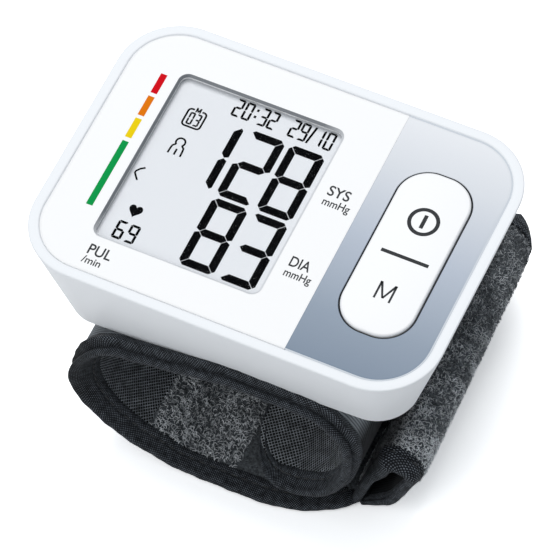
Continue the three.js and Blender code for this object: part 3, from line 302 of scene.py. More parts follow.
# Each row: the material, its two colours, roughness, grain, relief, refraction, metal and solids.
for name, colours, roughness, grain, relief, ior, metal, solids in (
    ("black_abs", ("#1b1c1e", "#232427"), (0.42, 0.55), 0.6, 0.006, 1.53, 0,
     ["switch_stem_front", "switch_stem_back", "air_manifold", "cuff_nozzle"]),
    ("nickel_plate", ("#b9b6ae", "#cfccc4"), (0.22, 0.34), 0.4, 0.002, 1.5, 1,
     ["contact_bridge", "contact_plus", "contact_minus"]),
    ("zinc_screw", ("#a9adb0", "#c3c6c8"), (0.25, 0.4), 0.3, 0.003, 1.5, 1, ["rocker_pivot_pin"] + SCREWS),
    ("cell_wrap_film", ("#3c4a63", "#465673"), (0.18, 0.26), 2.0, 0.002, 1.5, 0, ["cell_left", "cell_right"]),
    ("board_solder_mask", ("#0f4a2c", "#14583a"), (0.3, 0.42), 1.2, 0.004, 1.52, 0, ["circuit_board"]),
    ("chip_resin", ("#17181a", "#202124"), (0.5, 0.62), 0.3, 0.004, 1.55, 0,
     ["processor_chip", "pressure_sensor", "switch_body_front", "switch_body_back"]),
    ("zebra_rubber", ("#8d8f92", "#5c5e61"), (0.6, 0.7), 0.25, 0.004, 1.45, 0,
     ["zebra_strip_front", "zebra_strip_back"]),
    ("reflector_film", ("#e9ebee", "#f1f2f4"), (0.3, 0.4), 0.8, 0.002, 1.5, 0, ["lcd_reflector"]),
    ("silicone_tube", ("#d5d8d6", "#e2e4e3"), (0.35, 0.48), 0.9, 0.003, 1.41, 0, ["pump_tube", "valve_tube"]),
    ("pump_steel", ("#8f9295", "#a4a7aa"), (0.3, 0.42), 0.5, 0.003, 1.5, 1, ["pump_motor", "pump_crank"]),
    ("pump_resin", ("#d8d4c6", "#e1ddd0"), (0.4, 0.5), 0.7, 0.004, 1.5, 0, ["pump_head", "release_valve"]),
):
    repaint(grained(name, colours, roughness, grain, relief, ior, Metallic=metal), solids)


# The face: a white plate let into the rim, glossier than the case, with the display's opening.
# The opening's edge slopes down to the lens at 45 degrees, and painted shade makes its far sides grey.
FACE_BOTTOM = 56.25
FACE_START = -41.45
FACE_END = 41.15
FACE_HALF = 28.95
FACE_CORNER = 10.7
FACE_JOIN = 15.35
FACE_EDGE = 0.2
PLATE_CREASE = 25
SQUARE = 0.05
PLATE_SIDES = [(0, FACE_BOTTOM), (0, FACE_LEVEL - FACE_EDGE), (0.06, FACE_LEVEL - 0.06)]
PLATE_SIDES += [(FACE_EDGE, FACE_LEVEL), (FACE_EDGE + 0.5, FACE_LEVEL)]
WINDOW_MIDDLE = (-12.35, -0.1)
WINDOW_HALF = (17.75, 20.3)
WINDOW_CORNER = 1.8
WINDOW_BEVEL = 0.36


def plate_rings(low, high, corners, join, steps):
    """A flat plate's outlines, drawn in by an inset at each level on all sides but the end at its join,
    which stays square: the low end where join is 1, the high end where it is -1. corners are four radii."""
    middle, half, radii = (low + high) / 2, (high - low) / 2, np.repeat(corners, CORNER_STEPS)
    return [
        outline((middle - join * i / 2, 0), half - i / 2, FACE_HALF - i, np.maximum(radii - i, SQUARE), z)
        for i, z in steps
    ]


def grown_rings(middle, half, corner, steps):
    """Outlines of one rounded rectangle, grown on all sides by each step's first value, at its level."""
    return [outline(middle, half[0] + g, half[1] + g, corner + g, z) for g, z in steps]


white_face = grained("white_face_acrylic", ("#f8f8f8", "#f9f9f9"), (0.28, 0.31), 0.9, 0.0001, 1.49)
window_steps = [(WINDOW_BEVEL, FACE_LEVEL), (0.02, FACE_LEVEL - WINDOW_BEVEL), (0, FACE_BOTTOM)]
face_rings = plate_rings(FACE_START, FACE_JOIN, (SQUARE, SQUARE, FACE_CORNER, FACE_CORNER), -1, PLATE_SIDES)
face_rings += grown_rings(WINDOW_MIDDLE, WINDOW_HALF, WINDOW_CORNER, window_steps)
face = loft("face", face_rings, white_face, lids=False, crease=PLATE_CREASE)
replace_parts(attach(face, "monitor"), "face_plate")

# The sloping edge is grey where it faces the front and the right, and pale on its two near sides: the grey is
# painted shade.
EDGE_STEPS = [(0.34, FACE_LEVEL - 0.02), (-0.16, FACE_LEVEL - 0.45)]
EDGE_STEPS += [(-0.16, FACE_LEVEL - 0.5), (0.34, FACE_LEVEL - 0.1)]
EDGE_REACH = (17.9, 20.6)
edge_painted_shade, tree = finish("window_edge_painted_shade", "#8a8d92", 0.4, 1.5)
axes = node(tree, "SeparateXYZ", {0: node(tree, "TexCoord").outputs["Object"]}).outputs
behind = node(tree, "Math", {0: axes[1], 1: 1 / (EDGE_REACH[1] * MM)}, operation="MULTIPLY")
shade_reach = node(tree, "Math", {0: axes[0], 1: -1 / (EDGE_REACH[0] * MM), 2: behind}, operation="MULTIPLY_ADD")
side = node(tree, "MapRange", {0: shade_reach, 1: 0.55, 2: 0.95})
# Painted shade: grey on the edge's back and left sides, pale on the near sides.
shade = node(tree, "Mix", {0: side, 6: linear("#dfe1e4"), 7: linear("#6d7176")}, data_type="RGBA")
dress(tree, Base_Color=shade.outputs[2])
edge_rings = grown_rings(WINDOW_MIDDLE, WINDOW_HALF, WINDOW_CORNER, EDGE_STEPS)
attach(loft("window_edge", edge_rings, edge_painted_shade, lids=False, crease=PLATE_CREASE), "monitor")


# The control panel: the same plate in grey, its paint fading from pale at the back to slate at the front.
# Fine flakes in the paint scatter its gloss.
KEY_MIDDLE = (27.87, -0.5)
KEY_HALF = (7.6, 19.05)
KEY_CORNER = 6.5
KEY_GAP = 0.33
PANEL_START = FACE_JOIN + 0.02
FLAKE = 0.4

panel_paint, tree = finish("panel_grey_paint", "#b9c3cf", 0.3, 1.5)
place = node(tree, "TexCoord").outputs["Object"]
axes = node(tree, "SeparateXYZ", {0: place}).outputs
fade = node(tree, "MapRange", {0: axes[1], 1: -29 * MM, 2: 29 * MM})
ramp = node(tree, "ValToRGB", {0: fade})
ramp.color_ramp.elements[0].color = linear("#63778d")
ramp.color_ramp.elements[1].color = linear("#e6e8ec")
for position, colour in ((0.19, "#7c8c9f"), (0.5, "#aab4c3"), (0.81, "#d5d9df")):
    ramp.color_ramp.elements.new(position).color = linear(colour)
flake = node(tree, "TexNoise", {"Vector": place, "Scale": 1 / (FLAKE * MM)})
glint = node(tree, "MapRange", {0: flake, 3: 0.26, 4: 0.36})
dress(tree, Base_Color=ramp.outputs[0], Roughness=glint.outputs[0])

key_hole = [(KEY_GAP + 0.1, FACE_LEVEL), (KEY_GAP, FACE_LEVEL - 0.1), (KEY_GAP, FACE_BOTTOM)]
panel_rings = plate_rings(PANEL_START, FACE_END, (FACE_CORNER, FACE_CORNER, SQUARE, SQUARE), 1, PLATE_SIDES)
panel_rings += grown_rings(KEY_MIDDLE, KEY_HALF, KEY_CORNER, key_hole)
panel = loft("panel", panel_rings, panel_paint, lids=False, crease=PLATE_CREASE)
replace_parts(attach(panel, "monitor"), "control_panel")

# The paint stops a little before the plate's rim: a bare margin shows as a thin pale line on three sides, partly
# a painted highlight.
MARGIN_STEPS = [(-0.14, FACE_LEVEL - 0.1), (-0.14, FACE_LEVEL)]
MARGIN_STEPS += [(0.24, FACE_LEVEL + 0.02), (0.24, FACE_LEVEL - 0.1)]
# Painted highlight: the margin's pale colour also stands in for light on the plate's edge.
pale_margin_and_highlight = grained("bare_margin_and_painted_highlight", ("#c2c9d1", "#cad0d7"), (0.3, 0.36), 0.9, 0.0005, 1.49)
margin_rings = plate_rings(FACE_JOIN, FACE_END, (FACE_CORNER, FACE_CORNER, 0.3, 0.3), 1, MARGIN_STEPS)
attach(loft("panel_margin", margin_rings, pale_margin_and_highlight, lids=False, crease=PLATE_CREASE), "monitor")


# The display: a pale reflective liquid crystal cell under a clear acrylic lens, which is cast and polished,
# and lies loose in the face's opening.
LENS_HALF = (17.5, 20.05)
LENS_CORNER = 1.6
LENS_STEPS = [(-0.3, 56.28), (0, 56.33), (0, 56.72), (-0.08, 56.8)]
lcd_glass = grained("lcd_polariser", ("#e5e8ec", "#e8eaee"), (0.3, 0.36), 1.5, 0.001, 1.5)
repaint(lcd_glass, ["lcd_panel"])
clear_acrylic = grained("clear_acrylic", ("#3a4046", "#40464c"), (0.04, 0.07), 3.0, 0.0001, 1.49, Alpha=0.012)
lens = loft("lens", grown_rings(WINDOW_MIDDLE, LENS_HALF, LENS_CORNER, LENS_STEPS), clear_acrylic)
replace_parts(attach(lens, "monitor"), "display_window")


# The rocker key: one oval of white ABS on a steel pin, with a rounded edge and a press point at each end.
# A dark ring lies in the gap round it, clear of the key at every tilt: its dark colour is painted shade in the
# gap.
KEY_TOP = 57.95
KEY_BOTTOM = 55.35
KEY_ROUND = 0.5
GAP_SHADE_TOP = 57.38
GAP_SHADE_INNER = 0.19
GAP_SHADE_OUTER = KEY_GAP + 0.02
arc = np.radians(np.linspace(0, 90, 6))
key_steps = [(0, KEY_BOTTOM)]
key_steps += [(-KEY_ROUND * (1 - np.cos(a)), KEY_TOP - KEY_ROUND * (1 - np.sin(a))) for a in arc]
key_white = grained("key_white_abs", ("#fafafb", "#fcfcfc"), (0.3, 0.38), 0.5, 0.002, 1.53)
key = loft("key", grown_rings(KEY_MIDDLE, KEY_HALF, KEY_CORNER, key_steps), key_white)
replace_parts(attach(key, "rocker"), "rocker_key")
# Painted shade: the ring's dark colour stands in for the shadow in the key's gap.
gap_shade_colours = ("#26282b", "#2e3134")
gap_shade_paint = grained("key_gap_painted_shade", gap_shade_colours, (0.7, 0.8), 0.5, 0.002, 1.45, Specular_IOR_Level=0.2)
gap_shade_steps = [(GAP_SHADE_OUTER, KEY_BOTTOM), (GAP_SHADE_OUTER, GAP_SHADE_TOP), (GAP_SHADE_INNER, GAP_SHADE_TOP), (GAP_SHADE_INNER, KEY_BOTTOM)]
gap_shade_rings = grown_rings(KEY_MIDDLE, KEY_HALF, KEY_CORNER, gap_shade_steps)
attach(loft("key_gap_shade", gap_shade_rings, gap_shade_paint, lids=False), "monitor")


# The print: grey pad-printed marks on key and face, and four bars of colour beside the display.
# Each is a film of ink, drawn 0.02 mm high and sunk as deep.
PRINT = 0.02
INK_ROUGH = (0.45, 0.55)
FONT_CAPITAL = 0.729
FONT_WEIGHT = 0.012
FONT_DEPTH = 0.01


def slab(name, corners, level, paint):
    """Flat marks of one thickness: each polygon of (count, points, 2) reaches a print's height over a level."""
    corners = np.asarray(corners, float)
    corners = corners.reshape(-1, *corners.shape[-2:])
    height = np.full((*corners.shape[:2], 1), PRINT)
    low, high = (np.concatenate([corners, level + side * height], -1) for side in (-1, 1))
    return tubes(name, np.stack([low, high], 1), paint, crease=20)


def bar(low_x, low_y, high_x, high_y):
    """The four corners of an upright rectangle."""
    return [(low_x, low_y), (high_x, low_y), (high_x, high_y), (low_x, high_y)]


def letters(name, text, corner, width, height, level, paint):
    """Plain lettering made a mesh: fitted to a width and a capital's height, its first foot at corner."""
    curve = bpy.data.curves.new(name, "FONT")
    curve.body, curve.extrude, curve.offset = text, FONT_DEPTH, FONT_WEIGHT
    line = stand(name, curve)
    mesh = worked_out(line)
    bpy.data.objects.remove(line)
    points = np.empty(len(mesh.vertices) * 3, np.float32)
    mesh.vertices.foreach_get("co", points)
    points = points.reshape(-1, 3)
    start = points[:, 0].min()
    size = np.array([width / (points[:, 0].max() - start), height / FONT_CAPITAL])
    flat = (points[:, :2] - [start, 0]) * size + corner
    lift = np.where(points[:, 2:] > 0, level + PRINT, level - PRINT)
    mesh.vertices.foreach_set("co", (np.concatenate([flat, lift], 1) * MM).astype(np.float32).ravel())
    mesh.materials.clear()
    mesh.materials.append(paint)
    return stand(name, mesh)


def ring_mark(middle, radius, stroke, count=64):
    """A flat ring as quads between two circles."""
    turn = np.linspace(0, 2 * np.pi, count + 1)
    near = np.stack([np.cos(turn), np.sin(turn)], -1)
    inner = middle + (radius - stroke / 2) * near
    outer = middle + (radius + stroke / 2) * near
    return np.stack([inner[:-1], outer[:-1], outer[1:], inner[1:]], 1)


def upright_m(low, size, stroke):
    """A plain M as quads: two stems, and two slants from their tops that meet above the foot line."""
    wide, tall = size
    foot = 0.12 * tall
    stem = np.array(bar(0, 0, stroke, tall))
    slant = [(0, tall), ((wide - stroke) / 2, foot), ((wide + stroke) / 2, foot), (1.2 * stroke, tall)]
    half = np.stack([stem, slant])
    return np.concatenate([half, half[:, ::-1] * [-1, 1] + [wide, 0]]) + np.asarray(low)


grey_ink = grained("grey_pad_ink", ("#37393b", "#3f4143"), (0.5, 0.6), 0.3, 0.001, 1.5, Specular_IOR_Level=0.05)
for name, shapes in (
    ("key_power_ring", ring_mark(np.array([28.11, 7.25]), 2.83, 0.78)),
    ("key_power_bar", bar(27.72, 5.7, 28.5, 8.85)),
    ("key_divider", bar(23.12, -1.98, 33.1, -1.22)),
    ("key_memory_letter", upright_m((26.08, -12.05), (3.55, 4.0), 0.42)),
):
    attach(slab(name, shapes, KEY_TOP, grey_ink), "rocker")
for name, text, corner, width, height in (
    ("label_sys", "SYS", (8.0, 5.75), 4.6, 2.4),
    ("label_sys_unit", "mmHg", (8.0, 3.35), 5.7, 1.8),
    ("label_dia", "DIA", (8.05, -11.85), 4.25, 2.4),
    ("label_dia_unit", "mmHg", (8.0, -14.25), 5.65, 1.8),
    ("label_pulse", "PUL", (-29.0, -25.0), 4.9, 2.4),
    ("label_pulse_unit", "/min", (-29.2, -27.15), 3.95, 1.65),
):
    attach(letters(name, text, corner, width, height, FACE_LEVEL, grey_ink), "monitor")
for name, colour, low, high in (
    ("range_bar_red", "#d90016", 13.45, 18.35),
    ("range_bar_orange", "#ea7a00", 7.7, 12.6),
    ("range_bar_yellow", "#f5d608", 2.05, 6.9),
    ("range_bar_green", "#009a4a", -15.0, 1.1),
):
    ink = grained(name + "_ink", (colour, colour), INK_ROUGH, 0.3, 0.001, 1.5, Specular_IOR_Level=0.05)
    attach(slab(name, bar(-34.19, low, -32.8, high), FACE_LEVEL, ink), "monitor")


# The reading: dark segments of the liquid crystal, seven to a digit, and the small signs beside them.
# They lie on the display's cell, under the lens. A size is (width, height), stroke and gap.
LCD_LEVEL = 55.97
SIGN_STROKE = 0.38
BIG = ((7.65, 16.4), 1.68, 0.09)
SMALL = ((1.8, 4.25), 0.46, 0.04)
TINY = ((1.2, 2.95), 0.35, 0.03)
PULSE = ((2.1, 4.25), 0.52, 0.04)
LIT = {"0": "abcdef", "1": "bc", "2": "abged", "3": "abgcd", "6": "afgedc", "8": "abcdefg", "9": "abcdfg"}
lcd_ink = grained(
    "lcd_dark_segment", ("#050506", "#09090b"), (0.6, 0.7), 0.5, 0.0001, 1.5, Specular_IOR_Level=0.0
)


def digit(sign, low, size, stroke, gap):
    """A seven-segment digit: six-sided bars, mitred where they meet and set apart by a gap. The digit's
    outer corners are cut off. The upper left half is drawn and mirrored for the rest."""
    wide, tall = size
    half, cut, mid = stroke / 2, 0.55 * stroke, tall / 2
    near, far = stroke + gap, wide - stroke - gap
    top = [(cut / 2 + gap, tall - cut / 2), (cut + gap, tall), (wide - cut - gap, tall)]
    top += [(wide - cut / 2 - gap, tall - cut / 2), (far, tall - stroke), (near, tall - stroke)]
    level = [(half + gap, mid), (near, mid + half), (far, mid + half)]
    level += [(wide - half - gap, mid), (far, mid - half), (near, mid - half)]
    left = [(0, mid + half / 2 + gap), (0, tall - cut - gap), (cut / 2, tall - cut / 2 - gap)]
    left += [(stroke, tall - stroke - gap), (stroke, mid + half + gap), (half, mid + gap)]
    top, left, down = np.array(top), np.array(left), np.array([1, -1])
    bars = {"a": top, "d": top * down + [0, tall], "g": np.array(level)}
    bars.update({"f": left, "e": left * down + [0, tall]})
    bars.update({"b": left * [-1, 1] + [wide, 0], "c": [wide, tall] - left})
    return [bars[name] + np.asarray(low) for name in LIT[sign]]


def row(signs, starts, foot, size):
    """A row of digits: each sign at its own start, all on one foot line."""
    return np.concatenate([digit(sign, (start, foot), *size) for sign, start in zip(signs, starts)])


def line_mark(points, stroke=SIGN_STROKE):
    """A drawn line of one width: quads between the path moved to its left and to its right."""
    points = np.asarray(points, float)
    way = np.gradient(points, axis=0)
    side = np.stack([-way[:, 1], way[:, 0]], -1) / np.hypot(way[:, 0], way[:, 1])[:, None] * stroke / 2
    left, right = points + side, points - side
    return np.stack([right[:-1], right[1:], left[1:], left[:-1]], 1)


clock_starts = (-17.85, -15.68, -12.25, -10.2, -5.55, -3.45, -0.2, 2.1)
dots = np.array([bar(-13.3, y, -12.8, y + 0.55) for y in (17.0, 18.6)])
slash = np.array([[(-1.45, 15.75), (-1.0, 15.75), (-0.4, 19.9), (-0.85, 19.9)]])

# The heart is a known closed curve of sines and cosines of one turn.
turn = np.linspace(0, 2 * np.pi, 48, endpoint=False)
heart_y = 13 * np.cos(turn) - 5 * np.cos(2 * turn) - 2 * np.cos(3 * turn) - np.cos(4 * turn)
heart = np.stack([16 * np.sin(turn) ** 3, heart_y], -1) * [0.088, 0.1] + [-25.05, -11.85]

# The store's box is open at its top, for its letter. The user is a head, two sides and a parting line.
box_line = outline((-23.9, 12.0), 1.95, 2.05, 0.7, 0)[:, :2]
box_ends = np.array([bar(-25.2, 13.86, -24.75, 14.24), bar(-23.05, 13.86, -22.6, 14.24)])
head_turn = np.radians(np.linspace(-50, 230, 24))
head = np.stack([-23.95 + 0.95 * np.cos(head_turn), 6.0 + 0.95 * np.sin(head_turn)], -1)
body = np.array([(-23.3, 5.3), (-22.75, 4.8), (-22.65, 4.1), (-22.6, 2.85)])
legs = [(-23.95, 4.3), (-23.95, 3.6), (-23.95, 2.85)]
angle = [(-27.65, -2.15), (-28.5, -2.75), (-29.1, -3.55), (-29.1, -3.95), (-28.5, -4.7), (-27.95, -5.35)]
user = [line_mark(path) for path in (head, body, body * [-1, 1] + [-47.9, 0], legs)]
for name, shapes in (
    ("reading_upper", row("128", (-21.35, -12.38, -3.73), -2.1, BIG)),
    ("reading_lower", row("83", (-12.38, -3.73), -19.2, BIG)),
    ("reading_pulse", row("69", (-26.95, -24.25), -19.1, PULSE)),
    ("reading_clock", row("20322910", clock_starts, 15.75, SMALL)),
    ("reading_store", row("03", (-25.2, -23.75), 10.42, TINY)),
    ("sign_heart", heart),
    ("sign_clock_strokes", np.concatenate([dots, slash])),
    ("sign_store_box", np.concatenate([line_mark(np.roll(box_line, -2 * CORNER_STEPS, 0)), box_ends])),
    ("sign_user", np.concatenate(user)),
    ("sign_angle", line_mark(angle)),
    ("sign_store_letter", upright_m((-24.45, 13.55), (1.1, 1.15), 0.26)),
):
    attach(slab(name, shapes, LCD_LEVEL, lcd_ink), "monitor")


# The cuff's way: one band, wound from the tongue's tip up the right side, over under the case, down
# the left, back along the floor as a flat strap, and up again as the tail that is folded on itself.
ROUTE_STEP = 0.25
RIM_STEP = 0.8
TONGUE_REACH = 11.0
TONGUE_FLAT = 15.0
TAIL_CORNER = 1.5
FLARE_REACH = 1.5
LOOP_THICK = 4.5
STRAP_THICK = 2.4
LOOP_TOP = 39.5
LOOP_HALF = 31
STRAP_START = 4.0
STRAP_RUN = 24.2
TAIL_FRONT = 27.5
TAIL_BACK = 36.0
TAIL_TOP = 21
TAIL_FOLD = 30.0
TAIL_LIFT = (0.7, 2.2)
LEFT_SPREAD = 4.3
RIGHT_SPREAD = 2.2
STRAP_CURVE = 2.8
TIP_THINNED = 0.9
RIGHT_THINNED = 0.8
END_THINNED = 1.4
LOOP_FLARE = 3.0
FOLD_FLARE = 2.3
TAIL_DRAWN = 1.4
DRAWN_FROM = -28.5
DRAWN_RUN = 61
SIDEWAYS = np.array([0, 1, 0])


def bend(middle, radii, start, end):
    """Points on an ellipse about a middle, between two angles in degrees."""
    turn = np.radians(np.linspace(start, end, 60))
    return np.stack([middle[0] + radii[0] * np.cos(turn), middle[1] + radii[1] * np.sin(turn)], -1)


def run_length(points):
    """The length along a path at each of its points."""
    return np.concatenate([[0], np.cumsum(np.linalg.norm(np.diff(points, axis=0), axis=1))])


def even(points, step, measured):
    """A path's rows at even steps of the length of its first measured columns."""
    run = run_length(points[:, :measured])
    place = np.linspace(0, run[-1], int(run[-1] / step) + 1)
    return np.stack([np.interp(place, run, column) for column in points.T], -1)


def soften(points, width):
    """A path rounded off: the bell-weighted mean of each point's neighbours, its ends carried on straight."""
    reach = int(4 * width / ROUTE_STEP)
    bell = np.exp(-0.5 * (np.arange(-reach, reach + 1) * ROUTE_STEP / width) ** 2)
    ahead = np.arange(1, reach + 1)[:, None]
    behind = points[0] + (points[0] - points[1]) * ahead[::-1]
    beyond = points[-1] + (points[-1] - points[-2]) * ahead
    long = np.concatenate([behind, points, beyond])
    return np.stack([np.convolve(column, bell / bell.sum(), "valid") for column in long.T], -1)


def ease(value):
    """A smooth step from 0 to 1."""
    value = np.clip(value, 0, 1)
    return value * value * (3 - 2 * value)


turns = [
    [[3.0, 3.8]],  # the tongue's tip
    bend((15, 26), (15.2, 22.2), -90, 0),  # up the right side
    bend((18, 26), (12.2, 13.5), 0, 90)[1:],
    [[2.0, LOOP_TOP]],  # under the case
    bend((-20, 20), (12.1, 14.88), 90, 180),  # down the left side
    bend((-8, 20), (24.1, 20), 180, 270)[1:],
    [[28.4, 0.0]],  # along the floor
    bend((36.2, 18.4), (2.4, 2.4), 170, 90),  # up the tail's leg and over its fold
    bend((37.3, 18.4), (2.5, 2.4), 90, -15),
    [[37.4, 14.3], [34.4, 7.3], [31.0, 3.4], [27.9, 1.0]],  # down to the tail's end
]
route = even(soften(even(np.concatenate(turns), ROUTE_STEP, 2), 1.0), ROUTE_STEP, 2)
route_x, route_z = route.T
order = np.arange(len(route))
length = ROUTE_STEP * order
route_way = np.gradient(route, axis=0)
route_left = np.stack([-route_way[:, 1], route_way[:, 0]], -1) / np.linalg.norm(route_way, axis=1)[:, None]
floor_start, floor_end = int(route_x.argmin()), int(route_x.argmax())
on_floor = order > floor_start

# The band's edges: the loop spreads to its foot, more on its left, and narrows along the strap to the tail.
# Past its fold the tail's back edge is drawn forward.
fold = length[-1] - TAIL_FOLD
tail_rise = np.where(on_floor & (route_x > 26), route_z / TAIL_TOP, 0)
taper = np.where(on_floor, np.clip((route_x - STRAP_START) / STRAP_RUN, 0, 1), 0)
taper[floor_end:] = 1
loop_half = LOOP_HALF + np.where(order > route_z.argmax(), LEFT_SPREAD, RIGHT_SPREAD) * (1 - route_z / LOOP_TOP)
front_edge = -loop_half + (loop_half - TAIL_FRONT + TAIL_LIFT[0] * tail_rise) * taper**STRAP_CURVE
drawn_back = 5.0 * ease((length - fold - 3) / 9) + 3.4 * ease((length - fold - 8) / 18)
tail_back = TAIL_BACK + TAIL_LIFT[1] * tail_rise - drawn_back
back_edge = loop_half + (tail_back - loop_half) * ease(2 * taper - 1)

# The band's thickness: padded in the loop, flat along the strap, thinner at the tongue, up the right side
# and at the tail's end.
thinning = np.where(on_floor, ease((route_x + 16) / 10), 0)
thick = LOOP_THICK - (LOOP_THICK - STRAP_THICK) * thinning - TIP_THINNED * (1 - ease(length / 16))
thick = thick - END_THINNED * ease((length - length[-1] + 9) / 9)
thick = thick - RIGHT_THINNED * ease((length - 16) / 10) * (1 - ease((length - 46) / 10))

# Two moves off the plain band: the tail's falling side is drawn in, and edges flare at the loop's left and
# over the tail's fold.
drawn_in = np.where(on_floor, np.clip((route_x - 28.4 - 0.28 * route_z) / 6.4, 0, 1), 0)
flare = LOOP_FLARE * np.exp(-(((route_z - 18) / 10) ** 2)) * ease((-12 - route_x) / 14)
flare = flare + FOLD_FLARE * ease((length - fold + 9) / 9) * (1 - ease((length - fold - 4) / 12))


def floor_length(x):
    """The length along the band at which its floor run passes x."""
    run = slice(floor_start, floor_end)
    return float(np.interp(x, route_x[run], length[run]))


def along_band(values, along):
    """A value kept for each step of the route, read at any length along it."""
    return np.interp(along, length, values)


def band(along, across, depth):
    """A point of the wound band: the route at a length, moved off to its left by a depth, at a place across.
    The loop's far side flares out at its edges, the tail's top droops at its own, and the tail's falling side
    is drawn in towards the back."""
    from_edge = np.minimum(across - along_band(front_edge, along), along_band(back_edge, along) - across)
    depth = depth - along_band(flare, along) * np.exp(-np.maximum(from_edge, 0) / FLARE_REACH)
    x = along_band(route_x, along) + depth * along_band(route_left[:, 0], along)
    z = along_band(route_z, along) + depth * along_band(route_left[:, 1], along)
    x = x - TAIL_DRAWN * along_band(drawn_in, along) * np.clip((across - DRAWN_FROM) / DRAWN_RUN, 0, 1)
    return np.stack(np.broadcast_arrays(x, across, z), -1)


def band_axes(along):
    """At each length: the way ahead along the band, and the way to its left, out of its inner face."""
    left_x, left_z = along_band(route_left[:, 0], along), along_band(route_left[:, 1], along)
    return np.stack([left_z, 0 * along, -left_x], -1), np.stack([left_x, 0 * along, left_z], -1)


SPLIT = floor_length(20.0)
TAIL_END = float(length[-1])


def hem_share(along):
    """The hem's width as a share of its full width: it narrows round the tongue's tip and down the tail's end."""
    return 0.3 + 0.66 * ease(along / 10) - 0.42 * ease((along - fold - 3) / 10)


def under_hem(width, lap):
    """The margin of a layer that ends a lap under the inner edge of a hem."""
    return lambda along: width * hem_share(along) - lap


def middle_half(along):
    """The middle of the band's width at a length, and half that width, before its ends are rounded off."""
    front, back = along_band(front_edge, along), along_band(back_edge, along)
    return (front + back) / 2, (back - front) / 2


def edges_at(along):
    """The band's front and back edge at a length: the tongue and the tail's end are rounded off."""
    middle, half = middle_half(along)
    nose = np.clip(1 - along / TONGUE_REACH, 0, 1)
    end = np.clip(1 - (TAIL_END - along) / TAIL_CORNER, 0, 1)
    half = np.where(nose > 0, TONGUE_FLAT + (half - TONGUE_FLAT) * np.sqrt(1 - nose**2), half)
    half = half - TAIL_CORNER * (1 - np.sqrt(1 - end**2))
    return middle - half, middle + half


def rim_path(open_end, tip, reach, flat):
    """The band's rim from an open end round a tip and back: rows of x, y, z and length along the band.
    The tip is a flat with a quarter ellipse at each side. flat is half the flat's width or, where it is
    negative, how much less that is than half the band's."""
    turn = np.linspace(np.pi / 2, 0, 60)
    inward = np.sign(open_end - tip) * reach
    straight = np.linspace(open_end, tip + inward, 900)
    along = np.concatenate([straight, tip + inward * (1 - np.cos(turn))])
    swell = np.concatenate([np.ones(len(straight)), np.sin(turn)])
    middle, half = middle_half(along)
    nose = np.minimum(flat if flat > 0 else half + flat, half)
    half = nose + (half - nose) * swell
    along = np.concatenate([along, along[::-1]])
    across = np.concatenate([middle - half, (middle + half)[::-1]])
    path = band(along, across, along_band(thick, along) / 2)
    return even(np.concatenate([path, along[:, None]], 1), RIM_STEP, 3)


def rim_frame(path):
    """At each point of a rim: the way along it, the way out of the band's edge, and the band's left.
    The way out is square to the rim as it lies on the flat cloth, so that it stays true over the folds."""
    way = np.gradient(path[:, :3], axis=0)
    way /= np.linalg.norm(way, axis=1)[:, None]
    ahead, left = band_axes(path[:, 3])
    run, side = np.gradient(path[:, 3]), np.gradient(path[:, 1])
    turn = -np.sign(run[0]) * np.sign(path[0, 1]) / np.hypot(run, side)
    out = (turn * side)[:, None] * ahead - (turn * run)[:, None] * SIDEWAYS
    return way, out, left


def tint(tree, tone):
    """Multiplies the colour that a material has so far by a tone, which its own nodes work out."""
    colour = tree.nodes["Principled BSDF"].inputs["Base Color"].links[0].from_socket
    toned = node(tree, "VectorMath", {0: colour, "Scale": tone}, operation="SCALE")
    dress(tree, Base_Color=toned.outputs[0])


def painted_shade(tree, axes, ranges, least):
    """A painted shade's tone: 1, falling to least as both of two ranges are passed.
    A range is an axis, and the places on it, in mm, where its pass starts and ends."""
    shares = [node(tree, "MapRange", {0: axes[axis], 1: start * MM, 2: end * MM}) for axis, start, end in ranges]
    covered = node(tree, "Math", {0: shares[0], 1: shares[1]}, operation="MULTIPLY")
    return node(tree, "MapRange", {0: covered, 3: 1.0, 4: least})


def woven(name, colours, pitch, relief, roughness, meet, window, drift, angle=0.0):
    """A woven or knitted cloth on its own cloth map, in mm: two waves of the threads' pitch along and across
    are multiplied (a weave) or the greater is taken (a net), cut to a window of heights, and coloured and
    raised by it. drift is the size and strength of slow clouds. The threads lie at an angle to the band."""
    made, tree = finish(name, colours[0], roughness, 1.53, Specular_IOR_Level=0.06, Sheen_Weight=0.04)
    place = node(tree, "TexCoord").outputs["UV"]
    turned = node(tree, "Mapping", {0: place, "Rotation": (0, 0, np.radians(angle))})
    axes = node(tree, "SeparateXYZ", {0: turned}).outputs
    waves = []
    for axis in (0, 1):
        turn = node(tree, "Math", {0: axes[axis], 1: 2 * np.pi / pitch[axis]}, operation="MULTIPLY")
        waves.append(node(tree, "Math", {0: turn}, operation="COSINE"))
    met = node(tree, "Math", {0: waves[0], 1: waves[1]}, operation=meet)
    thread = node(tree, "MapRange", {0: met, 1: window[0], 2: window[1]})
    shade = node(tree, "Mix", {0: thread, 6: linear(colours[0]), 7: linear(colours[1])}, data_type="RGBA")
    cloud = node(tree, "TexNoise", {"Vector": place, "Scale": 1 / drift[0], "Detail": 4.0})
    tone = node(tree, "MapRange", {0: cloud, 1: 0.3, 2: 0.7, 3: 1 - drift[1], 4: 1 + drift[1]})
    bump = node(tree, "Bump", {"Height": thread, "Distance": relief * MM})
    dress(tree, Base_Color=shade.outputs[2], Normal=bump.outputs[0])
    tint(tree, tone)
    return made


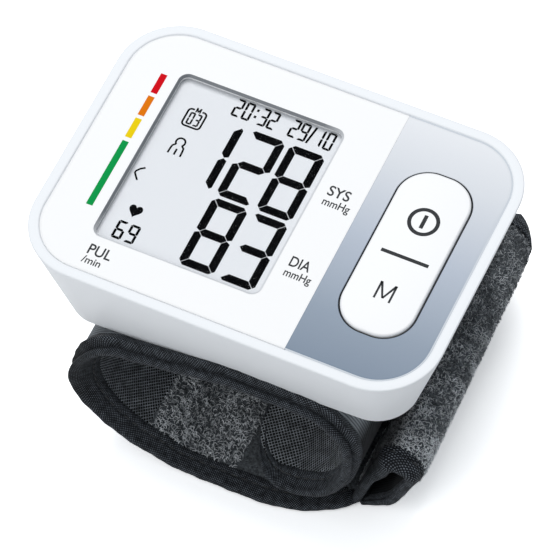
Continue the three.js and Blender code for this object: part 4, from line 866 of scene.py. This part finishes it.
def band_layer(name, start, end, margin, depths, paint, columns=60, step=0.7):
    """A layer of the band: lengths by places across, at a lower and an upper depth, closed round its edges.
    depths gives the two depths for arrays of lengths and of shares of the width."""
    along = np.linspace(start, end, int((end - start) / step) + 1)[:, None]
    share = 0.5 - 0.5 * np.cos(np.linspace(0, np.pi, columns))[None]
    front, back = edges_at(along)
    inset = margin(along) if callable(margin) else margin
    across = front + inset + (back - front - 2 * inset) * share
    low, high = depths(along, share)
    skin = np.concatenate([band(along, across, low), band(along, across, high)[:, ::-1]], 1)
    flat = np.stack(np.broadcast_arrays(along, across), -1)
    cloth = np.concatenate([flat, flat[:, ::-1]], 1).reshape(-1, 2)
    return loft(name, skin, paint, crease=50, cloth=cloth)


# The outer cover: ribbed black nylon over the whole band, with its edges under the puckered hems.
# The ribs run along the band 0.35 mm apart, drawn at 0.6 mm so that they show. The tail's inside is plain black.
# Painted light makes the nylon lighter towards the key's end, and painted shade darkens the low part of that
# side, where the tail covers it.
HEM_OUT = 4.0
TAIL_STOP = TAIL_END - 2.0
RIBS = {"pitch": (5000, 0.6), "relief": 0.05, "meet": "MULTIPLY", "window": (-0.8, 0.9), "drift": (5.0, 0.3)}
ribbed_nylon = woven("ribbed_nylon", ("#595d61", "#868b90"), roughness=0.6, **RIBS)
black_nylon = woven("black_nylon", ("#101214", "#1c1f22"), roughness=0.7, **RIBS)
tree = ribbed_nylon.node_tree
axes = node(tree, "SeparateXYZ", {0: node(tree, "TexCoord").outputs["Object"]}).outputs
# Painted light: the nylon grows lighter towards the key's end.
tint(tree, node(tree, "MapRange", {0: axes[0], 1: 0.0, 2: 24 * MM, 3: 0.85, 4: 1.25}))
# Painted shade: darker low on the key's side, in the gap behind the tail.
tint(tree, painted_shade(tree, axes, ((0, 21, 25.5), (2, 33.5, 28.5)), 0.08))


def pucker(along):
    """The uneven pull of a seam: two waves of unlike length along the band, between -1 and 1."""
    return 0.6 * np.sin(0.83 * along + 1.1 * np.sin(0.21 * along)) + 0.4 * np.sin(1.9 * along + 0.7)


def from_side(share, width):
    """How far a share of a layer's width lies from its nearer side, for a layer about a width wide."""
    return np.minimum(share, 1 - share) * width


def cover_depths(along, share):
    """The cover lies at the band's outer face and is pulled in by puckers along its two edges."""
    top = 0.15 * (1 + pucker(along)) * np.exp(-from_side(share, 58) / 1.5)
    return top, top + 0.8


def flat_cover(along, share):
    """The tail's cover, level with the band's outer face and turned in at its edges."""
    top = 0.15 * np.exp(-from_side(share, 62) / 0.8) + 0 * along
    return top, top + 0.6


cuff_cloth = band_layer("cuff_cloth", 5.0, SPLIT, HEM_OUT - 0.5, cover_depths, ribbed_nylon, columns=70)
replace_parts(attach(cuff_cloth, "monitor"), "cuff_cover")
tail_margin = under_hem(HEM_OUT, 0.5)
tail_cloth = band_layer("tail_cloth", SPLIT, TAIL_STOP, tail_margin, flat_cover, black_nylon, columns=70)
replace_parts(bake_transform(tail_cloth), "tail_cover")


# Inside the cuff: a springy sheet that keeps the loop round, and the air bladder on it.
# Both are cut from plastic film and lie loose between cover and lining.
curl_film = grained("curl_polyester_sheet", ("#c9ced1", "#d6dadc"), (0.25, 0.33), 3.0, 0.003, 1.57)
bladder_film = grained("bladder_film", ("#3d4043", "#46494c"), (0.4, 0.5), 2.0, 0.01, 1.5)
LOOP_END = floor_length(-14.0)


def between(low, high):
    """Two level depths for a hidden layer."""
    return lambda along, share: (low + 0 * along * share, high + 0 * along * share)


curl_layer = band_layer("curl_layer", 34.0, LOOP_END, 9.0, between(1.2, 1.8), curl_film, columns=12, step=1.5)
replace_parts(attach(curl_layer, "monitor"), "curl_sheet")
bladder = band_layer("bladder", 28.0, LOOP_END - 4, 8.0, between(2.0, 2.7), bladder_film, columns=12, step=1.5)
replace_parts(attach(bladder, "monitor"), "air_bladder")


# The lining: an open knitted mesh against the wrist, from the tongue round to where the velour starts.
# Its diagonal net has holes about 0.65 mm apart.
HEM_IN = 4.9
LINING_START = 1.1
VELOUR_START = floor_length(-18.6)
NET = {"pitch": (0.66, 0.6), "relief": 0.15, "meet": "MAXIMUM", "window": (0.6, 1.0), "drift": (2.0, 0.45)}
knit_mesh = woven("knit_mesh", ("#060707", "#b0b6bc"), roughness=0.7, angle=52.0, **NET)


def lining_depths(along, share):
    """The lining lies at the band's inner face, dips to the seams, and swells a little over the bladder."""
    swell = 0.35 * np.sin(np.pi * share) ** 2 * ease((along - 12) / 15)
    top = along_band(thick, along) - 0.15 - 0.5 * np.exp(-from_side(share, 58) / 1.6) + swell
    return top - 0.8, top


lining_margin = under_hem(HEM_IN, 0.4)
lining_run = (LINING_START, VELOUR_START)
mesh_lining = band_layer("mesh_lining", *lining_run, lining_margin, lining_depths, knit_mesh, columns=90)
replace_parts(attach(mesh_lining, "monitor"), "cuff_lining")


# The velour: brushed loops that the hook tape grips, on the strap's upper face and on the tail's outside.
# A dark knitted ground carries a pile of curly loops about half a millimetre high, drawn one by one.
# On the tail's leg, which the loop covers, painted shade darkens both.
PILE_STEP = 0.45
PILE_WIDTH = 54
PILE_SUNK = 0.2
SEWN_DIP = 0.45
TUFT_HEIGHT = 0.07
TUFT_SPREAD = 1.2
YARN_RADIUS = 0.062
YARN_RINGS = 5
LOOP_COUNT = 7500
LOOP_LEAN = 0.7
LOOP_SPAN = (0.2, 0.5)
LOOP_HEIGHT = (0.15, 0.6)
LOOP_SUNK = 0.25
COVERED_LEG = ((0, 26.5, 28.5), (0, 36, 33.5))
LEG_SHADE = 0.2
velour_ground, tree = finish("velour_ground", "#34373a", 0.9, 1.5, Specular_IOR_Level=0.05, Sheen_Weight=0.12)
place = node(tree, "TexCoord").outputs
tufts = node(tree, "TexNoise", {"Vector": place["UV"], "Scale": 1.4, "Detail": 6.0, "Roughness": 0.75})
ground = node(tree, "ValToRGB", {0: tufts})
ground.color_ramp.elements[0].position = 0.35
ground.color_ramp.elements[0].color = linear("#232628")
ground.color_ramp.elements[1].position = 0.72
ground.color_ramp.elements[1].color = linear("#7d8388")
raised = node(tree, "Bump", {"Height": tufts, "Distance": 0.5 * MM})
dress(tree, Base_Color=ground.outputs[0], Normal=raised.outputs[0])
axes = node(tree, "SeparateXYZ", {0: place["Object"]}).outputs
# Painted shade on the tail's covered leg.
tint(tree, painted_shade(tree, axes, COVERED_LEG, LEG_SHADE))

# Each loop takes its own grey. Slow clouds make worn, lighter patches. The strap's run is darker than the tail.
# Painted light makes the velour lighter towards the band's front edge, and painted shade darker towards its back.
velour_loop, tree = finish("velour_loop", "#6a6e72", 0.75, 1.5, Specular_IOR_Level=0.1, Sheen_Weight=0.12)
place = node(tree, "TexCoord").outputs
own = node(tree, "TexWhiteNoise", {"Vector": place["UV"]}, noise_dimensions="2D")
clouds = node(tree, "TexNoise", {"Vector": place["UV"], "Scale": 0.26, "Detail": 3.0})
axes = node(tree, "SeparateXYZ", {0: place["UV"]}).outputs
darker_strap = node(tree, "MapRange", {0: axes[0], 1: SPLIT - 6, 2: SPLIT + 6, 3: -0.16, 4: 0.0})
# Painted light and shade: lighter towards the front edge, darker towards the back.
front_light_back_shade = node(tree, "MapRange", {0: axes[1], 1: 16.0, 2: -24.0, 3: -0.2, 4: 0.3})
light_shade_and_strap = node(tree, "Math", {0: front_light_back_shade, 1: darker_strap}, operation="ADD")
lot = node(tree, "Math", {0: own, 1: light_shade_and_strap}, operation="ADD")
both = node(tree, "Math", {0: clouds, 1: 1.9, 2: lot}, operation="MULTIPLY_ADD")
yarn = node(tree, "ValToRGB", {0: node(tree, "MapRange", {0: both, 1: 0.6, 2: 1.9})})
yarn.color_ramp.elements[0].color = linear("#1c1f21")
yarn.color_ramp.elements[1].color = linear("#f2f5f8")
yarn.color_ramp.elements.new(0.38).color = linear("#5c6166")
dress(tree, Base_Color=yarn.outputs[0])
axes = node(tree, "SeparateXYZ", {0: place["Object"]}).outputs
# Painted shade on the tail's covered leg.
tint(tree, painted_shade(tree, axes, COVERED_LEG, LEG_SHADE))


def fluff(rows, columns, spread, seed):
    """Repeatable noise on a grid: seeded heights blurred by a bell of a spread in cells, scaled to unit size."""
    heights = np.fft.rfft2(np.random.default_rng(seed).normal(size=(rows, columns)))
    wave = np.fft.fftfreq(rows)[:, None] ** 2 + np.fft.rfftfreq(columns)[None] ** 2
    soft = np.fft.irfft2(heights * np.exp(-2 * (np.pi * spread) ** 2 * wave), s=(rows, columns))
    return soft / soft.std()


def pile_depths(seed):
    """The velour's backing, and its ground: small tufts over the band's inner face, sewn down at the edges."""

    def depths(along, share):
        rows, columns = np.broadcast_shapes(along.shape, share.shape)
        sewn = SEWN_DIP * np.exp(-from_side(share, PILE_WIDTH) / 0.8)
        tufted = TUFT_HEIGHT * fluff(rows, columns, TUFT_SPREAD, seed)
        top = along_band(thick, along) - PILE_SUNK - sewn + tufted
        return np.full_like(top, STRAP_THICK / 2), top

    return depths


def pile_loops(name, start, end, margin, seed):
    """Curly loops strewn over the band's inner face: each is half an ellipse of yarn, a three-sided tube of
    four lengths, standing on a random place of the outer face with its own heading, lean and size."""
    draw = np.random.default_rng(seed)
    outer_length = run_length(route + thick[:, None] * route_left)
    ends = np.interp([start, end], length, outer_length)
    along = np.interp(draw.uniform(ends[0], ends[1], LOOP_COUNT), outer_length, length)
    front, back = edges_at(along)
    inset = margin(along)
    across = front + inset + (back - front - 2 * inset) * draw.uniform(0, 1, LOOP_COUNT)
    heading, lean = draw.uniform(0, 2 * np.pi, LOOP_COUNT), draw.uniform(-LOOP_LEAN, LOOP_LEAN, LOOP_COUNT)
    span, height = draw.uniform(*LOOP_SPAN, LOOP_COUNT), draw.uniform(*LOOP_HEIGHT, LOOP_COUNT)
    base = band(along, across, along_band(thick, along) - LOOP_SUNK)
    way, left = band_axes(along)
    run = np.cos(heading)[:, None] * way + np.sin(heading)[:, None] * SIDEWAYS
    rise = np.cos(lean)[:, None] * left + np.sin(lean)[:, None] * np.cross(left, run)
    turn = np.linspace(0, np.pi, YARN_RINGS)
    over, up = -np.cos(turn)[None, :, None] * run[:, None], np.sin(turn)[None, :, None] * rise[:, None]
    spine = base[:, None] + span[:, None, None] * over + height[:, None, None] * up
    flank = np.cross(run, rise)
    third = np.radians([0, 120, 240])
    yarn = np.cos(third)[:, None] * (over + up)[:, :, None] + np.sin(third)[:, None] * flank[:, None, None]
    points = spine[:, :, None] + YARN_RADIUS * yarn
    cloth = np.repeat(np.stack([along, across], -1), YARN_RINGS * len(third), 0)
    return tubes(name, points, velour_loop, crease=80, cloth=cloth)


PILE = {"paint": velour_ground, "columns": 130, "step": PILE_STEP}
PILE_END = floor_length(2.5)
strap_pile = band_layer("strap_pile", VELOUR_START - 0.3, SPLIT, HEM_IN - 0.5, pile_depths(3), **PILE)
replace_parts(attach(strap_pile, "monitor"), "strap_velour")
strap_loops = pile_loops("strap_loops", VELOUR_START, PILE_END, under_hem(HEM_IN, 0.1), 11)
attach(strap_loops, "monitor")
TAIL_HEM = 4.6
tail_pile = band_layer("tail_pile", SPLIT, TAIL_STOP, under_hem(TAIL_HEM, 0.4), pile_depths(7), **PILE)
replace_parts(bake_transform(tail_pile), "tail_velour")
PILE_PARTS = np.linspace(floor_length(27.0), TAIL_END - 2.5, 4)
tail_loops = [
    pile_loops(f"tail_loops_{number + 1}", start, end, under_hem(TAIL_HEM, 0.1), 13 + number)
    for number, (start, end) in enumerate(zip(PILE_PARTS[:-1], PILE_PARTS[1:]))
]
for loops in tail_loops:
    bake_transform(loops)


# The hook tape: a stiff nylon patch under the tongue, its hooks drawn as rows of small studs.
# It is moulded in one with its backing and sewn on, and the tongue hides it.
HOOK_PITCH = 1.2
HOOK_WIDTH = 36
HOOK_RUN = (floor_length(5.0), floor_length(15.0))
hook_nylon = grained("hook_nylon", ("#1d1e20", "#26282a"), (0.4, 0.55), 0.5, 0.01, 1.53)


def hook_depths(along, share):
    """Rows of studs at one pitch: the product of two squared cosines."""
    stud = np.cos(np.pi * along / HOOK_PITCH) ** 2 * np.cos(np.pi * share * HOOK_WIDTH / HOOK_PITCH) ** 2
    return 2.75 + 0 * stud, 3.1 + 0.4 * stud


hook_tape = band_layer("hook_tape", *HOOK_RUN, 17.0, hook_depths, hook_nylon, columns=120, step=0.3)
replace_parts(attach(hook_tape, "monitor"), "hook_patch")


# The hems: the band's edges are bound in black nylon tape, 0.3 mm weave drawn at 0.55 mm: a thin lip,
# a rolled ridge outside it, a slope that swells to the pad inside, and one row of stitches sunk in a groove.
# Painted shade darkens the tape towards the loop's far end, on its left.
LIP = 0.9
LIP_HALF = 1.0
NOTCH = 1.8
RIDGE_ROUND = 0.8
RIDGE_HEIGHT = 0.5
RIDGE_PULL = 0.35
EDGE_PULL = 0.12
STITCH_INSET = 3.2
STITCH_STEP = 3
STITCH_SIZE = (0.75, 0.16, 0.2)
TAPE = {"pitch": (0.55, 0.55), "relief": 0.08, "meet": "MULTIPLY", "window": (0.15, 1.1), "drift": (1.2, 0.6)}
hem_tape = woven("hem_tape", ("#181a1e", "#848b92"), roughness=0.55, **TAPE)
tree = hem_tape.node_tree
axes = node(tree, "SeparateXYZ", {0: node(tree, "TexCoord").outputs["Object"]}).outputs
# Painted shade: the tape darkens towards the loop's far end.
tint(tree, node(tree, "MapRange", {0: axes[0], 1: -36 * MM, 2: -24 * MM, 3: 0.15, 4: 1.0}))
thread_black = grained("sewing_thread", ("#141516", "#2a2c2e"), (0.5, 0.65), 0.4, 0.01, 1.53)
ridge = RIDGE_HEIGHT * ease(route_z / 6) * ease((length - 34) / 12) * (1 - ease((length - SPLIT + 8) / 8))


def lip_half(along):
    """Half the lip's thickness: even, but never more than the band's own."""
    return np.minimum(LIP_HALF, 0.42 * along_band(thick, along))


def hem_profile(inner):
    """The hem's section: down over the ridge into a notch, half an ellipse round the thin lip, a slope that
    swells to the pad inside with a groove for the stitches, and a hidden side. Columns: out of the edge (mm),
    lip halves off the middle, share of the way to the band's face, and share of the ridge."""
    turn = np.radians(np.linspace(-90, 90, 13))
    over = np.linspace(-HEM_OUT, -NOTCH, 24)
    climb = np.sqrt(1 - np.clip(1 + (over + NOTCH) / RIDGE_ROUND, 0, 1) ** 2)
    back = 1 - ease((-over - NOTCH - RIDGE_ROUND) / (HEM_OUT - NOTCH - RIDGE_ROUND))
    notch = 0.5 * np.exp(-(((over + NOTCH) / 0.4) ** 2))
    outer = np.stack([over, notch - 1, -1.06 * climb, climb * back], -1)
    edge = np.stack([LIP * (np.cos(turn) - 1), np.sin(turn), 0 * turn, 0 * turn], -1)
    within = np.linspace(-LIP, -inner, 30)[1:]
    groove = 0.3 * np.exp(-(((within + STITCH_INSET) / 0.3) ** 2)) + 0.3 * np.exp((-inner - within) / 0.4)
    slope = 0.95 * ease((-within - LIP) / (inner - LIP))
    inside = np.stack([within, 1 - groove, slope, 0 * within], -1)
    return np.concatenate([outer, edge, inside, [[-inner, 0.2, 0, 0], [-HEM_OUT, -0.3, 0, 0]]])


def hem(name, path, profile):
    """The profile carried along a rim in its own frame, drawn in where the hem narrows, closed at its ends.
    Behind the lip it gives back the loop's flare, its ridge is uneven with the seam's pull, and where it
    reaches the floor it lies flat on it."""
    out, left = rim_frame(path)[1:]
    along = path[:, 3:]
    wide, lip = hem_share(along), lip_half(along)
    pull = pucker(along + 0.4 * path[:, 1:2])
    reach, lips, swell, ridged = profile.T[:, None]
    rise = lips * lip + swell * (along_band(thick, along) / 2 - lip)
    rise = rise - ridged * along_band(ridge, along) * (1 + RIDGE_PULL * pull)
    rise = rise + along_band(flare, along) * (1 - np.exp(np.minimum(reach, 0) * wide / FLARE_REACH))
    spread = reach * wide + EDGE_PULL * pull
    rings = path[:, None, :3] + spread[:, :, None] * out[:, None] + rise[:, :, None] * left[:, None]
    rings[..., 2] = np.maximum(rings[..., 2], 0.0)
    run = RIM_STEP * np.arange(len(path))
    cloth = np.stack(np.broadcast_arrays(run[:, None], run_length(profile)[None]), -1).reshape(-1, 2)
    return loft(name, rings, hem_tape, crease=50, cloth=cloth)


def stitches(name, path):
    """A row of stitches on a hem's inner face: small half-sunk grains, one every 2.4 mm of the rim."""
    pick = slice(4, len(path) - 4, STITCH_STEP)
    way, out, left = (axis[pick] for axis in rim_frame(path))
    along = path[pick, 3]
    inset = STITCH_INSET * hem_share(along)
    lip, part = lip_half(along), ease((STITCH_INSET - LIP) / (HEM_IN - LIP))
    rise = 0.75 * lip + part * (0.47 * along_band(thick, along) - lip) + 0.88 * along_band(flare, along)
    base = path[pick, :3] - inset[:, None] * out + rise[:, None] * left
    turn = np.linspace(0, 2 * np.pi, 8, endpoint=False)
    place = np.linspace(-1, 1, 7)[:, None]
    girth = np.sqrt(1.02 - place**4)
    grain = np.stack([place + 0 * turn, girth * np.cos(turn), girth * np.sin(turn)], -1) * STITCH_SIZE
    turned = np.einsum("rck,nkx->nrcx", grain, np.stack([way, out, left], 1))
    return tubes(name, base[:, None, None] + turned, thread_black, crease=60)


cuff_rim = rim_path(SPLIT, 0.0, TONGUE_REACH, TONGUE_FLAT)
cuff_hem = hem("cuff_hem", cuff_rim, hem_profile(HEM_IN))
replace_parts(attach(cuff_hem, "monitor"), "cuff_binding_front", "cuff_binding_back")
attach(stitches("cuff_stitches", cuff_rim), "monitor")
tail_rim = rim_path(SPLIT, TAIL_END, TAIL_CORNER, -TAIL_CORNER)
tail_hem = hem("tail_hem", tail_rim, hem_profile(TAIL_HEM))
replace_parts(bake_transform(tail_hem), "tail_binding_front", "tail_binding_back")
tail_stitches = stitches("tail_stitches", tail_rim)
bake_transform(tail_stitches)


# The studio: a pale paper floor that runs on as the backdrop, and three soft lamps, overhead, in front and at
# the right. The floor is lifted towards white for the camera alone, so it adds no light, and keeps the shadow.
FLOOR_HALF = 1500.0
FLOOR_LEVEL = -0.15
FLOOR_LIFT = 0.25
SKY_SEEN = 1.0
SKY_LIGHT = 0.38
LAMP_TARGET = np.array([0, 0, 0.03])
floor_paint, tree = finish("floor_paper", "#f2f2f2", 0.9, 1.4)
paper = node(tree, "BsdfDiffuse", {0: linear("#f2f2f2")})
glow = node(tree, "Emission", {0: linear("#ffffff"), 1: FLOOR_LIFT})
paler = node(tree, "AddShader", {0: paper, 1: glow})
seen_only = node(tree, "MixShader", {0: node(tree, "LightPath").outputs["Is Camera Ray"], 2: paler})
lifted = node(tree, "AddShader", {0: tree.nodes["Principled BSDF"], 1: seen_only})
tree.links.new(lifted.outputs[0], tree.nodes["Material Output"].inputs["Surface"])
floor_points = [(x, y, FLOOR_LEVEL) for x, y in bar(-FLOOR_HALF, -FLOOR_HALF, FLOOR_HALF, FLOOR_HALF)]
floor = put("floor", floor_points, [[0, 1, 2, 3]], floor_paint)

world = bpy.data.worlds.new("studio")
world.use_nodes = True
bpy.context.scene.world = world
tree = world.node_tree
rays = node(tree, "LightPath").outputs
mirrored = node(tree, "Math", {0: rays["Is Glossy Ray"], 1: rays["Is Transmission Ray"]}, operation="MAXIMUM")
seen = node(tree, "Math", {0: rays["Is Camera Ray"], 1: mirrored}, operation="MAXIMUM")
strength = node(tree, "MapRange", {0: seen, 3: SKY_LIGHT, 4: SKY_SEEN})
sky = tree.nodes["Background"]
sky.inputs["Color"].default_value = linear("#f3f9ff")
tree.links.new(strength.outputs[0], sky.inputs["Strength"])


def aim(name, data, right, up, back, place):
    """Stands a lamp or a camera at a place in metres, looking against its back axis."""
    made = stand(name, data)
    axes = [[right[i], up[i], back[i], place[i]] for i in range(3)]
    made.matrix_world = Matrix(axes + [[0, 0, 0, 1]])
    return made


for name, place, size, power in (
    ("lamp_overhead", (-0.2, 0.5, 1.1), 0.9, 7.6),
    ("lamp_front", (-0.5, -0.8, 0.75), 0.8, 3.9),
    ("lamp_right", (1.0, -0.1, 0.45), 0.7, 0.1),
):
    light = bpy.data.lights.new(name, "AREA")
    light.size, light.energy = size, power
    back = place - LAMP_TARGET
    back = back / np.linalg.norm(back)
    right = np.cross([0, 1, 0.01], back)
    right = right / np.linalg.norm(right)
    aim(name, light, right, np.cross(back, right), back, place)

# The camera stands where the photograph's did: its angle, lens and distance were solved from the case's edges.
AZIMUTH, ELEVATION, ROLL = np.radians([29.94, 59.01, -5.34])
AIM = np.array([8.1, -15.58, 57.6])
DISTANCE = 722.7
FOCUS_PIXELS = 3758.0
FRAME_PIXELS = 560.0
SENSOR = 36.0
right = np.array([np.cos(AZIMUTH), np.sin(AZIMUTH), 0])
level_back = np.array([np.sin(AZIMUTH), -np.cos(AZIMUTH), 0])
back = np.cos(ELEVATION) * level_back + np.array([0, 0, np.sin(ELEVATION)])
up = np.cross(back, right)
tilted_right = np.cos(ROLL) * right + np.sin(ROLL) * up
tilted_up = np.cos(ROLL) * up - np.sin(ROLL) * right
camera_data = bpy.data.cameras.new("camera")
camera_data.sensor_width = SENSOR
camera_data.lens = SENSOR * FOCUS_PIXELS / FRAME_PIXELS
camera = aim("camera", camera_data, tilted_right, tilted_up, back, (AIM + DISTANCE * back) * MM)
bpy.context.scene.camera = camera
bpy.context.scene.view_settings.view_transform = "Standard"
